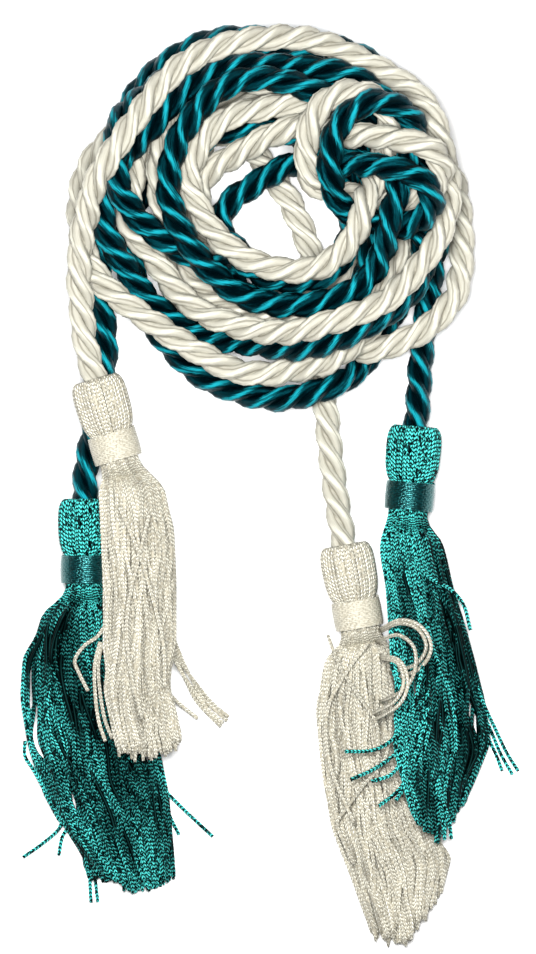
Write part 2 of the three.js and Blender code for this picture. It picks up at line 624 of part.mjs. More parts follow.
function buildHonorCord() {
  const group = new THREE.Group();
  const white = sampleRoute(routePoints(WHITE_ROUTE, TASSELS.whiteRight, TASSELS.whiteLeft));
  const teal = sampleRoute(routePoints(TEAL_ROUTE, TASSELS.tealRight, TASSELS.tealLeft));
  const [whiteLaid, tealLaid] = settle([white, teal]);
  addPiece(group, "white_cord", ropeGeometry(whiteLaid), COLOURS.whiteRope, 0.45);
  addPiece(group, "teal_cord", ropeGeometry(tealLaid), COLOURS.tealRope, 0.4);
  const named = [
    ["white_tassel_left", "white_neck_wrap_left", TASSELS.whiteLeft],
    ["teal_tassel_left", "teal_neck_wrap_left", TASSELS.tealLeft],
    ["teal_tassel_right", "teal_neck_wrap_right", TASSELS.tealRight],
    ["white_tassel_right", "white_neck_wrap_right", TASSELS.whiteRight],
  ];
  for (const [body, wrap, tassel] of named) {
    const isWhite = body.startsWith("white");
    const strings = isWhite ? COLOURS.whiteTassel : COLOURS.tealTassel;
    const thread = isWhite ? COLOURS.whiteWrap : COLOURS.tealWrap;
    addPiece(group, body, tasselGeometry(tassel), strings, 0.65);
    addPiece(group, wrap, wrapGeometry(tassel), thread, 0.5);
  }
  return group;
}

export default buildHonorCord();
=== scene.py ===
"""Dresses a double honor cord: two twisted satin ropes, knotted together, laid in a loose coil
and finished with a string tassel on each end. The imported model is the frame, and every piece
made here stands for one of its nodes. Sizes are millimetres until a mesh is written."""

from __future__ import annotations

import logging
import math
from dataclasses import dataclass, field
from enum import Enum

import bmesh
import bpy
import numpy as np
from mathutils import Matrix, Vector

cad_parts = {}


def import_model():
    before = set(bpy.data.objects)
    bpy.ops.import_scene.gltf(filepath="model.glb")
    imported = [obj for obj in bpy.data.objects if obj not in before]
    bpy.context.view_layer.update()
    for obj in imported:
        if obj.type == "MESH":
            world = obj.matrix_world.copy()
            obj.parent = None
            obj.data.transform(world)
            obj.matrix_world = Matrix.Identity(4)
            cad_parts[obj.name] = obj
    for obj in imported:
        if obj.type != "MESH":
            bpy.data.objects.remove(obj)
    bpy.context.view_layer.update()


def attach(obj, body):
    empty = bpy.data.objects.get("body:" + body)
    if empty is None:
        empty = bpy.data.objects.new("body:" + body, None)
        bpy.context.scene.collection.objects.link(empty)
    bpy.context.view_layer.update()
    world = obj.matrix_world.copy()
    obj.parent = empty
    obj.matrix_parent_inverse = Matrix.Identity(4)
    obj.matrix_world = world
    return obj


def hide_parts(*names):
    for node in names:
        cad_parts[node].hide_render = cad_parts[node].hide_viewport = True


LOG = logging.getLogger("honor_cord")
MM = 0.001
LAY_MAP = "Lay"
# How open a string lies to the light; the string finish paints shade from it.
OPEN_MAP = "Open"
BODY = "root"
SAME_CORNER = 1e-6
GOLDEN_ANGLE = math.pi * (3 - math.sqrt(5))

# Distance down the head's axis and radius, for the head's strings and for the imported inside.
HEAD_PROFILE = (
    (2.2, 3.5), (0.6, 3.9), (-0.35, 4.7), (0.1, 5.7), (1.5, 6.35), (3.6, 6.62),
    (7.0, 6.62), (10.4, 6.4), (13.0, 5.8), (14.7, 5.0), (18.0, 4.7),
)
CORE_PROFILE = (
    (1.5, 0.0), (1.5, 3.6), (0.6, 4.6), (2.4, 5.9),
    (10.0, 5.8), (14.0, 4.9), (22.5, 4.7), (22.5, 0.0),
)


class Colour(Enum):
    """The two yarns that the cord is made of."""

    WHITE = "ivory"
    TEAL = "teal"


@dataclass(frozen=True)
class RopeSizes:
    """Sizes of a rope, as in the source of the solids."""

    diameter: float = 7.3
    clearance: float = 0.6
    sample: float = 3.5
    strands: int = 3
    lay: float = 22.3
    strand_radius: float = 1.84
    helix_radius: float = 1.84
    step: float = 1.9
    sides: int = 20
    plies: int = 4
    ply_groove: float = 0.13
    ply_rounding: float = 0.8
    ply_lay: float = 35.0

    @property
    def pitch(self) -> float:
        """Distance between the centres of two ropes that press on each other."""
        return self.diameter + self.clearance


@dataclass(frozen=True)
class TasselSizes:
    """Sizes that all four tassels share."""

    head_diameter: float = 14.4
    head_length: float = 14.2
    head_segments: int = 12
    socket_depth: float = 5.0
    wrap_length: float = 7.6
    wrap_clearance: float = 0.3
    neck_diameter: float = 11.0
    skirt_length: float = 82.0
    skirt_spread: float = 36.0
    skirt_thickness: float = 12.6
    skirt_end_thickness: float = 6.4
    edge_thinning: float = 0.5
    lift_ends: float = 0.35
    string_radius: float = 0.56
    strings: int = 176
    string_sides: int = 6
    string_steps: int = 44
    head_strings: int = 42
    head_steps: int = 26
    head_wander: float = 0.012
    head_overlap: float = 1.16

    @property
    def axis_height(self) -> float:
        """Height of the head's axis over what the head lies on."""
        return self.head_diameter / 2 * math.cos(math.pi / self.head_segments)

    @property
    def skirt_start(self) -> float:
        """Distance from the crown to the start of the skirt."""
        return self.head_length + self.wrap_length + 2 * self.wrap_clearance


@dataclass(frozen=True)
class SkirtLay:
    """How the strings of a skirt lie. Names that end in "by" or "start" are shares of its length."""

    rows_from: float = -0.1
    rows_to: float = 1.15
    row_marks: int = 251
    smoothing: int = 9
    fullness: float = 0.535
    squared_by: float = 0.12
    least_room: float = 0.2
    locks: int = 9
    even_share: float = 0.7
    least_chord: float = 0.02
    length_spread: float = 0.014
    shortening: float = 0.02
    above_neck: float = 0.06
    lock_turn: float = 1.9
    level_turn: float = 0.5
    fanned_by: float = 0.35
    side_paces: tuple[float, ...] = (1.3, 2.4, 4.1)
    own_lot: float = 0.8
    own_start: float = 0.3
    side_wave: float = 0.1
    level_paces: tuple[float, ...] = (1.7, 3.3)
    level_wave: float = 0.16
    neck_inset: float = 0.55
    laid_by: float = 0.1
    first_radius: float = 0.5
    full_radius_by: float = 0.08
    tip_start: float = 0.985
    tip_length: float = 0.015
    tip_thinning: float = 0.25
    stray_thickness: float = 0.95
    # Below 1, the strays get a little painted shade.
    stray_openness: float = 0.9
    stray_drop: float = 1.3
    stray_fan: float = 0.5
    arch_rounding: float = 0.6
    # These place the skirt's painted shade: the hollow spots, and stretches where single strings are
    # darker.
    hollow_edge: float = 1.5
    hollow_shift_down: float = 0.04
    hollow_shift_side: float = 0.12
    flicker_pace: float = 2.7
    flicker_threshold: float = 0.4
    flicker_depth: float = 0.55


@dataclass(frozen=True)
class WrapSizes:
    """Sizes of the thread that is wound round a neck."""

    turns: int = 15
    steps: int = 30
    sides: int = 7
    below_head: float = 0.25
    above_end: float = 0.1
    wander: float = 0.1
    wander_pace: float = 1.07
    lift: float = 0.6
    swell: float = 0.18
    radius: float = 0.34


@dataclass(frozen=True)
class Stray:
    """A few strings that left the skirt: their way from above, and how high they lie."""

    way: tuple[tuple[float, float], ...]
    heights: tuple[float, float]
    strings: int = 1
    gap: float = 1.5
    arch: float = 0.0


@dataclass(frozen=True)
class Hollow:
    """A place in a skirt where the strings turn away from the light and are painted darker as shade, and
    how far it reaches.
    """

    down: float
    side: float
    long: float
    wide: float
    depth: float


@dataclass(frozen=True)
class TasselPlace:
    """Where one tassel lies, in the words of the source of the solids.

    Most numbers are the same. The ends of two skirts are fuller here than in the solids.
    """

    name: str
    wrap_name: str
    colour: Colour
    crown: tuple[float, float]
    turn: float
    lift: float
    skirt: tuple[tuple[float, float, float, float, float], ...]
    ends: tuple[float, float, float]
    seed: int
    strays: tuple[Stray, ...] = ()
    # Spots of the skirt that are painted darker, as shade.
    painted_hollow_shade: tuple[Hollow, ...] = ()


WHITE_LEFT = TasselPlace(
    name="white_tassel_left",
    wrap_name="white_neck_wrap_left",
    colour=Colour.WHITE,
    crown=(-42.4, 25.2),
    turn=16.3,
    lift=0.66,
    skirt=(
        (0.0, 0.0, 0.33, 0.72, 0.72),
        (0.09, 0.042, 0.47, 0.84, 0.8),
        (0.22, 0.058, 0.51, 0.96, 0.9),
        (0.38, 0.065, 0.51, 0.96, 0.94),
        (0.58, 0.065, 0.51, 0.95, 0.92),
        (0.74, 0.058, 0.47, 0.93, 0.88),
        (0.93, 0.098, 0.47, 0.86, 0.8),
    ),
    ends=(1.0, 1.01, 0.98),
    seed=11,
    strays=(
        Stray(((-24, -38), (-20, -49.5), (-17.5, -55), (-15, -59.5), (-8.5, -66)), (12, 1), 2),
        Stray(((-24, -42), (-20, -50.5), (-16, -56.5), (-12, -61.5), (-8, -65)), (10, 1), 2),
        Stray(((-26, -50), (-24, -56.5), (-20.5, -60.5), (-15.5, -64.5)), (11, 3), 1),
        Stray(
            ((-39, -38), (-42, -42.5), (-45.5, -45), (-48, -49), (-47, -52), (-44.5, -57)),
            (15.5, 12.5),
            1,
        ),
        Stray(((-41, -44), (-42.2, -50), (-42, -57), (-40.8, -65), (-39, -70)), (15, 12), 2, 1.3),
        Stray(((-36, -8), (-31, -20), (-27, -33), (-24.5, -44), (-24, -56)), (27, 24)),
        Stray(((-28, -10), (-31.5, -24), (-34, -38), (-33, -52), (-30, -64)), (27, 24)),
    ),
    painted_hollow_shade=(
        Hollow(0.45, 0.95, 0.4, 0.3, 0.5),
        Hollow(0.75, 0.1, 0.12, 0.16, 0.4),
    ),
)
TEAL_LEFT = TasselPlace(
    name="teal_tassel_left",
    wrap_name="teal_neck_wrap_left",
    colour=Colour.TEAL,
    crown=(-45.3, -6.6),
    turn=0.0,
    lift=0.0,
    skirt=(
        (0.0, 0.0, 0.34, 0.09, 0.09),
        (0.11, -0.006, 0.65, 0.0, 0.0),
        (0.24, -0.02, 0.79, 0.0, 0.0),
        (0.37, -0.006, 0.88, 0.0, 0.0),
        (0.53, 0.026, 0.91, 0.0, 0.0),
        (0.69, 0.065, 0.88, 0.0, 0.0),
        (0.98, 0.149, 0.62, 0.0, 0.0),
    ),
    ends=(0.95, 1.0, 0.97),
    seed=23,
    strays=(
        Stray(((-36, -72), (-33.5, -75), (-26, -82), (-19, -89), (-11.5, -96)), (5, 0.8)),
        Stray(((-31, -78), (-28, -83), (-24, -88), (-22.5, -91.5), (-20.5, -95.5)), (4, 0.8)),
        Stray(((-47, -89), (-51, -91), (-52.5, -94), (-57, -98), (-62, -101.5)), (4, 0.8)),
        Stray(((-56, -84), (-59, -78.5), (-61.5, -74.5), (-61.5, -70.5)), (3, 0.8)),
        Stray(((-48, -90), (-50, -93.5), (-51.5, -96), (-52.5, -101)), (3, 0.8)),
        Stray(((-44, -92), (-43.5, -99), (-43.5, -107), (-43, -113.5)), (4, 0.8), 2, 1.2),
    ),
    painted_hollow_shade=(
        Hollow(0.22, -0.5, 0.17, 0.5, 1.0),
        Hollow(0.38, -0.05, 0.18, 0.42, 1.0),
        Hollow(0.6, 0.4, 0.2, 0.4, 1.0),
        Hollow(0.3, 0.7, 0.3, 0.4, 0.9),
        Hollow(0.66, -0.45, 0.13, 0.4, 0.9),
        Hollow(0.85, 0.0, 0.13, 0.35, 0.9),
        Hollow(0.8, 0.9, 0.2, 0.25, 0.8),
        Hollow(0.95, -0.8, 0.1, 0.3, 0.8),
    ),
)
TEAL_RIGHT = TasselPlace(
    name="teal_tassel_right",
    wrap_name="teal_neck_wrap_right",
    colour=Colour.TEAL,
    crown=(42.4, 12.7),
    turn=-5.0,
    lift=0.0,
    skirt=(
        (0.0, 0.0, 0.33, 0.09, 0.09),
        (0.117, 0.012, 0.46, 0.05, 0.0),
        (0.236, 0.035, 0.47, 0.4, 0.0),
        (0.4, 0.065, 0.55, 0.9, 0.0),
        (0.6, 0.095, 0.64, 0.96, 0.0),
        (0.79, 0.11, 0.68, 0.96, 0.0),
        (1.03, 0.1, 0.4, 0.92, 0.0),
    ),
    ends=(0.95, 1.02, 0.9),
    seed=37,
    strays=(
        Stray(((42, -22), (46, -27), (51.5, -30), (55, -34), (57, -41)), (12, 6)),
        Stray(((46, -57), (41, -63.5), (37, -69), (31.5, -72.5), (23.5, -73)), (19, 15)),
        Stray(((46, -61), (41.5, -67), (37.5, -73), (31.5, -77.5), (25, -80.5)), (19, 14)),
        Stray(((45, -63), (42, -68.5), (38.5, -75.5), (36, -79), (30.5, -81)), (18, 14)),
        Stray(((45, -65), (43, -71.5), (40.5, -78), (38, -83), (32.5, -87.5)), (18, 14)),
        Stray(((46, -66), (44.5, -72.5), (41.5, -79), (39, -83), (37, -86)), (17, 14)),
        Stray(((57, -52), (60, -60.5), (63.5, -68.5), (66, -74), (69, -79)), (4, 0.8), 2, 1.2),
        Stray(((57, -55), (59.5, -62), (62, -70), (64, -74.5), (65.5, -78.5)), (3, 0.8)),
        Stray(((48, -80), (49, -86), (50.5, -91.5), (51, -96.5)), (13, 9), 2, 1.2),
        Stray(((41, -22), (44, -34), (47, -46), (52, -60), (53, -74)), (25, 18)),
        Stray(((44, -50), (42, -60), (40.5, -68), (40, -78), (43, -88)), (26, 17)),
    ),
    painted_hollow_shade=(
        Hollow(0.18, 0.85, 0.16, 0.55, 1.0),
        Hollow(0.42, 0.75, 0.25, 0.62, 1.0),
        Hollow(0.75, 0.65, 0.25, 0.5, 1.0),
        Hollow(0.32, -0.5, 0.2, 0.2, 0.9),
        Hollow(0.62, -0.15, 0.2, 0.28, 0.9),
        Hollow(0.9, -0.5, 0.13, 0.4, 0.9),
    ),
)
WHITE_RIGHT = TasselPlace(
    name="white_tassel_right",
    wrap_name="white_neck_wrap_right",
    colour=Colour.WHITE,
    crown=(23.6, -18.8),
    turn=10.6,
    lift=0.0,
    skirt=(
        (0.0, 0.0, 0.37, 0.09, 0.09),
        (0.1, 0.0, 0.5, 0.0, 0.0),
        (0.26, 0.0, 0.62, 0.0, 0.0),
        (0.456, 0.03, 0.67, 0.0, 0.0),
        (0.65, 0.072, 0.7, 0.0, 0.0),
        (0.81, 0.135, 0.7, 0.0, 0.0),
        (0.99, 0.152, 0.5, 0.0, 0.0),
    ),
    ends=(1.0, 1.02, 0.85),
    seed=41,
    strays=(
        Stray(
            ((33, -41), (38, -38.5), (43, -40), (45.5, -45), (43, -50), (36, -53)),
            heights=(9, 9),
            strings=2,
            gap=1.2,
            arch=19,
        ),
        Stray(
            ((32, -44), (37.5, -42), (41.5, -45), (42, -50.5), (39.5, -56), (33, -60)),
            heights=(9, 9),
            arch=19,
        ),
        Stray(
            ((33, -48), (37.5, -49), (39.5, -54), (37.5, -59.5), (31, -64)),
            heights=(9, 9),
            strings=2,
            gap=1.2,
            arch=18,
        ),
        Stray(
            ((36, -62), (34, -75.5), (29, -81.5), (23.5, -89), (21.5, -92), (23, -96.5), (26, -103)),
            (14, 8),
        ),
        Stray(((19, -42), (22, -50), (27, -58), (32, -66), (32, -80)), (12.8, 12.6)),
        Stray(((30, -44), (24, -52), (19, -62), (19.5, -76), (26, -92)), (12.8, 10.8)),
    ),
    painted_hollow_shade=(
        Hollow(0.5, 0.95, 0.4, 0.25, 0.7),
        Hollow(0.9, -0.95, 0.2, 0.2, 0.5),
        Hollow(0.25, -0.4, 0.08, 0.2, 0.4),
    ),
)

WHITE_ROUTE: tuple[tuple[float, float, float, int], ...] = (
    (20, 4, 0, 1), (18.5, 19, 0, 1), (17, 33.5, 0, 1), (16, 46.5, 0, 1), (14.5, 60, 0, 1),
    (11.5, 67.5, 0, 1), (9, 73, 0, 1), (5, 79, 0, 1), (0.5, 85, 0, 1), (-4, 89.5, 0, 1),
    (-10, 93.5, 0, 0), (-17, 94, 0, 0), (-22, 89.5, 0, 0), (-24.5, 82, 0, 0), (-25, 73, 0, 0),
    (-23.5, 64, 0, 0), (-18.5, 54, 0, 0), (-10.5, 45.5, 0, 0), (-1, 40, 0.3, 0), (7.5, 36.5, 0.6, 0),
    (15, 35, 1, 0), (22.5, 34.2, 1, 1), (30, 34, 1, 1), (37.5, 35.5, 1, 1), (44, 38.5, 1, 1),
    (48.6, 43.2, 1, 1), (52, 49.5, 1, 1), (53.6, 56.7, 0.7, 1), (53.8, 64, 0.3, 1), (53, 71, 0.3, 1),
    (50.5, 78, 0.6, 1), (45.5, 85.5, 1, 0), (38.5, 91, 1, 0), (31, 96, 0.6, 0), (23, 102, 0, 0),
    (10.5, 106, 0, 0), (-3, 106.5, 0, 0), (-15, 103.5, 0, 0), (-26, 94.5, 0.4, 0), (-35.5, 89.5, 1, 0),
    (-42.5, 84, 0.8, 1), (-46, 77, 0.3, 1), (-46.8, 69, 0, 1), (-45, 60.5, 0.6, 1), (-41, 54.5, 1, 1),
    (-35.5, 48, 1, 1), (-28, 41.5, 1, 1), (-17.5, 34.5, 1, 1), (-7, 30, 1, 1), (3.5, 28, 1, 1),
    (14.5, 29.5, 1.4, 1), (23.5, 33.5, 2, 1), (29.5, 38, 1.9, 1), (34, 43.5, 1, 0), (38, 50.5, 0, 0),
    (38.5, 58.5, 0, 0), (38, 66.5, 0, 0), (37.5, 76, 0, 0), (34.5, 85, 0, 0), (29.5, 92, 0.3, 0),
    (21, 96, 1, 0), (12, 98, 1.8, 1), (5, 97.5, 2, 1), (-1.5, 96.5, 2, 1), (-8, 94.5, 2, 1),
    (-13.5, 90.5, 2, 0), (-17.5, 85, 1.8, 0), (-18.5, 78.5, 1.8, 0), (-16, 72.5, 2, 1),
    (-12.5, 66, 2, 1), (-7.5, 60.5, 2, 1), (-2, 57, 2, 1), (3.5, 55, 2, 1), (11.5, 54, 2, 1),
    (19, 56, 2, 1), (23.5, 60, 2, 1), (27, 65, 2.4, 1), (28, 70, 3, 1), (29, 76, 3, 1),
    (32.5, 82.5, 2.6, 1), (35.5, 87.5, 2.3, 1), (36, 94, 2.3, 1), (33, 98.5, 2.6, 1), (30, 100, 3, 1),
    (26, 101, 3.4, 1), (21, 100, 3.4, 1), (16.5, 96.5, 3.4, 1), (14, 90.5, 3.4, 1),
    (14.5, 83.5, 3.2, 1), (17.5, 78, 2.6, 1), (23.5, 74, 2, 1), (31.5, 72.5, 2, 1), (39.5, 71.5, 2, 1),
    (45.5, 74, 2, 1), (49, 79, 2.6, 1), (48, 83.5, 3.4, 1), (45, 86.5, 4, 1), (38, 88, 4, 1),
    (32, 88, 3.8, 1), (25.5, 87.5, 3, 1), (18.5, 91, 2.1, 1), (12.5, 94, 2, 1), (7, 91.5, 2, 1),
    (1.5, 89, 2, 1), (-5.5, 85, 2, 1), (-11.5, 81.5, 2, 1), (-15, 77, 1.6, 1), (-15.5, 72, 1.2, 0),
    (-14.5, 64.5, 0.6, 0), (-10, 58, 0.6, 0), (-1, 51.5, 0.6, 0), (9, 49, 0.8, 0), (18.5, 49.5, 1, 1),
    (25, 53, 0.5, 0), (29, 59.5, 0, 0), (30, 68, 0, 0), (29.5, 77, 0, 0), (27, 86.5, 0, 0),
    (22.5, 95, 0.5, 0), (14.5, 100.5, 1, 0), (3, 104, 1, 0), (-6.5, 106.5, 1, 1), (-13.5, 104.5, 1, 1),
    (-19, 101, 1, 1), (-22.5, 95, 1, 1), (-25, 87, 1, 1), (-26, 78.5, 1, 1), (-25, 71, 1, 1),
    (-22, 63, 1, 0), (-16, 54.5, 1, 0), (-8, 48.5, 1, 1), (1.5, 43.5, 1, 0), (13, 42, 2, 0),
    (23.5, 43.5, 1.6, 0), (32, 49.5, 1, 0), (37.5, 58, 1, 0), (41, 67.5, 1, 0), (40, 78.5, 1, 0),
    (31.5, 89, 0.8, 0), (24.5, 97.5, 0.3, 0), (12, 96, 0, 0), (-0.5, 99, 0, 0), (-12, 97.5, 0, 0),
    (-22.5, 94, 0.5, 0), (-29, 91, 1, 1), (-31.5, 83.5, 1, 1), (-32.5, 76, 1, 1), (-34, 70, 1.3, 1),
    (-34, 65, 1.6, 1), (-30, 59, 2, 1), (-24, 51.5, 2, 1), (-15.5, 44.5, 2, 1), (-6.5, 40.5, 2, 1),
    (3.5, 38.5, 2.3, 1), (14.5, 39, 2.8, 1), (25, 41.5, 2.3, 1), (33.5, 45.5, 2, 1), (39.5, 51, 2.2, 1),
    (45, 58, 2.4, 1), (49, 65.5, 2.4, 1), (50, 73, 2.4, 1), (48.8, 80.5, 2.4, 1), (46.4, 88.2, 2.4, 1),
    (42, 96.8, 2.4, 1), (35.8, 104, 2.2, 1), (27.8, 109.6, 2, 1), (18.6, 113.2, 2, 1), (9, 114.5, 2, 1),
    (-1, 114.5, 2, 1), (-9.5, 113, 2, 1), (-17.5, 109.5, 2, 1), (-24, 104, 2, 1), (-29.5, 97, 2, 1),
    (-34.5, 90, 2, 1), (-39, 82.5, 2, 1), (-42.5, 76, 2, 1), (-44.5, 69, 2, 1), (-46, 62, 2, 1),
    (-46.5, 54, 2, 1), (-46, 46, 1.5, 1), (-45.6, 38.5, 1.3, 1),
)

TEAL_ROUTE: tuple[tuple[float, float, float, int], ...] = (
    (43.6, 29, 0, 1), (44.6, 38.5, 0, 1), (46, 46.5, 0, 1), (47, 54, 0, 1), (48.5, 63, 0.9, 0),
    (48, 73, 1.1, 0), (44, 84, 1.8, 0), (38, 93, 2, 0), (28, 101.5, 1.6, 0), (16.5, 107, 1.1, 1),
    (3.5, 109, 1.2, 1), (-8, 108, 1.2, 1), (-18, 102, 1.2, 0), (-27.5, 93, 1.2, 0), (-36, 82, 1.2, 0),
    (-40.5, 72, 1.1, 1), (-39, 64, 1, 1), (-36, 57, 1, 1), (-31.5, 50, 1, 1), (-24.5, 43, 1, 1),
    (-15.5, 37.5, 1, 1), (-5.5, 34.5, 1, 1), (3.5, 33.5, 1.2, 1), (17, 34.5, 1.9, 1),
    (25, 37.5, 1.5, 1), (31.5, 41, 1.6, 1), (37.5, 45.5, 1.8, 1), (43, 52.5, 1.7, 0),
    (42.5, 62, 1.9, 0), (41.5, 72, 1.9, 0), (39, 83, 1.8, 0), (33.5, 92, 1.6, 0), (28, 100.5, 1.4, 0),
    (21, 103, 2, 0), (14.5, 103.5, 2.2, 1), (3.5, 105, 2.5, 1), (-4, 104.5, 2.8, 1), (-12, 101, 2.8, 1),
    (-17.5, 94.5, 2.8, 1), (-21, 86.5, 2.8, 1), (-23, 76, 2.8, 1), (-21.5, 68.5, 2.8, 1),
    (-17.5, 61, 2.8, 1), (-11.5, 54, 2.8, 1), (-4, 47.5, 2.5, 1), (3.5, 45, 2.6, 1), (11.5, 44, 3, 1),
    (22.5, 47, 2.6, 1), (30, 52.5, 2, 1), (33.5, 59.5, 2, 1), (34.5, 65, 2.5, 1), (34.5, 72, 3, 1),
    (36, 77, 2.8, 1), (38.5, 82.5, 2.4, 1), (40.5, 87, 2.6, 1), (40.5, 91.5, 3, 1), (37.5, 96, 3.6, 1),
    (33, 98.5, 3.8, 1), (27.5, 98, 3.8, 1), (23.5, 95, 3.8, 1), (20.5, 89, 3.6, 1), (20, 82.5, 3.4, 1),
    (21, 76.5, 2.8, 1), (25, 72, 2.1, 1), (31.5, 69, 2, 1), (38, 67.5, 2, 1), (44.5, 69.5, 2.4, 1),
    (47, 73.5, 3, 1), (44.5, 78, 3.8, 1), (38, 80.5, 4, 1), (31.5, 81.5, 3.8, 1), (25, 82.5, 3, 1),
    (18.5, 83.5, 2.2, 1), (11, 83, 2, 1), (5, 80.5, 2, 1), (-1.5, 76.5, 2, 1), (-7.5, 72, 1.6, 1),
    (-10.5, 66, 1, 0), (-9, 60, 1, 0), (-3, 55, 1.5, 1), (6.5, 51.5, 1.5, 1), (15.5, 52, 1.4, 1),
    (21.5, 55.5, 1, 0), (26, 62.5, 1, 0), (27, 70.5, 1, 0), (27, 81, 1, 0), (25.5, 91.5, 1, 0),
    (21, 102.5, 1, 0), (15.5, 109.5, 1, 0), (9, 111, 1, 0), (-3, 110.5, 1, 0), (-14, 106.5, 1, 0),
    (-23.5, 99.5, 1, 0), (-30.5, 91.5, 1.5, 0), (-35, 84.5, 2, 1), (-36.3, 80, 2, 1), (-36, 76, 2, 1),
    (-34, 72, 2.1, 1), (-30, 67, 2.2, 1), (-24.5, 62.5, 2.2, 1), (-18.5, 58.5, 1.8, 1),
    (-11.5, 52.5, 1, 0), (-3, 47.5, 0.7, 0), (7.5, 44.5, 1.3, 0), (18.5, 46, 1.3, 0), (28, 52, 1, 0),
    (33.5, 61, 1, 0), (34, 72, 1, 0), (29, 84.5, 1.1, 0), (23.5, 87.5, 1.1, 0), (17.5, 89.5, 1, 0),
    (9, 92.5, 1, 0), (-1.5, 91.5, 1, 1), (-9, 91.5, 1, 1), (-14, 89, 0.8, 1), (-20, 86, 0.2, 0),
    (-27.5, 81.5, 0, 0), (-32.5, 73, 0, 0), (-33.5, 61, 0, 0), (-30.5, 49.5, 0, 0), (-24, 37, 0, 0),
    (-15, 27, 0, 1), (-6.5, 23, 0, 1), (3.5, 20.5, 0.3, 1), (11, 21, 0.9, 1), (17.5, 23, 1.1, 1),
    (24.5, 27.5, 0.5, 1), (28.5, 33, 0, 1), (32.5, 37.5, 0, 1), (35.5, 42, 0, 1), (37.5, 47, 0, 1),
    (40, 54, 0, 0), (43.5, 61, 0, 0), (45, 70, 0, 0), (42.5, 81, 0, 0), (36.5, 91.5, 0, 0),
    (28, 100.5, 0, 0), (19.5, 109, 0, 0), (10.5, 113, 0, 0), (3.5, 115.5, 0, 1), (-3, 116.5, 0, 1),
    (-9.5, 116, 0, 1), (-16, 114, 0, 1), (-22, 110, 0, 1), (-27, 105.5, 0, 1), (-31.5, 101, 0, 1),
    (-35, 95, 0, 1), (-38.5, 89, 0, 0), (-41, 78, 0, 0), (-41.5, 65, 0, 0), (-42, 56, 0, 0),
    (-41.5, 49.5, 0, 1), (-40.5, 41.5, 0, 1), (-40, 33.5, 0, 1), (-41, 24.5, 0, 1), (-43, 12.5, 0, 1),
)


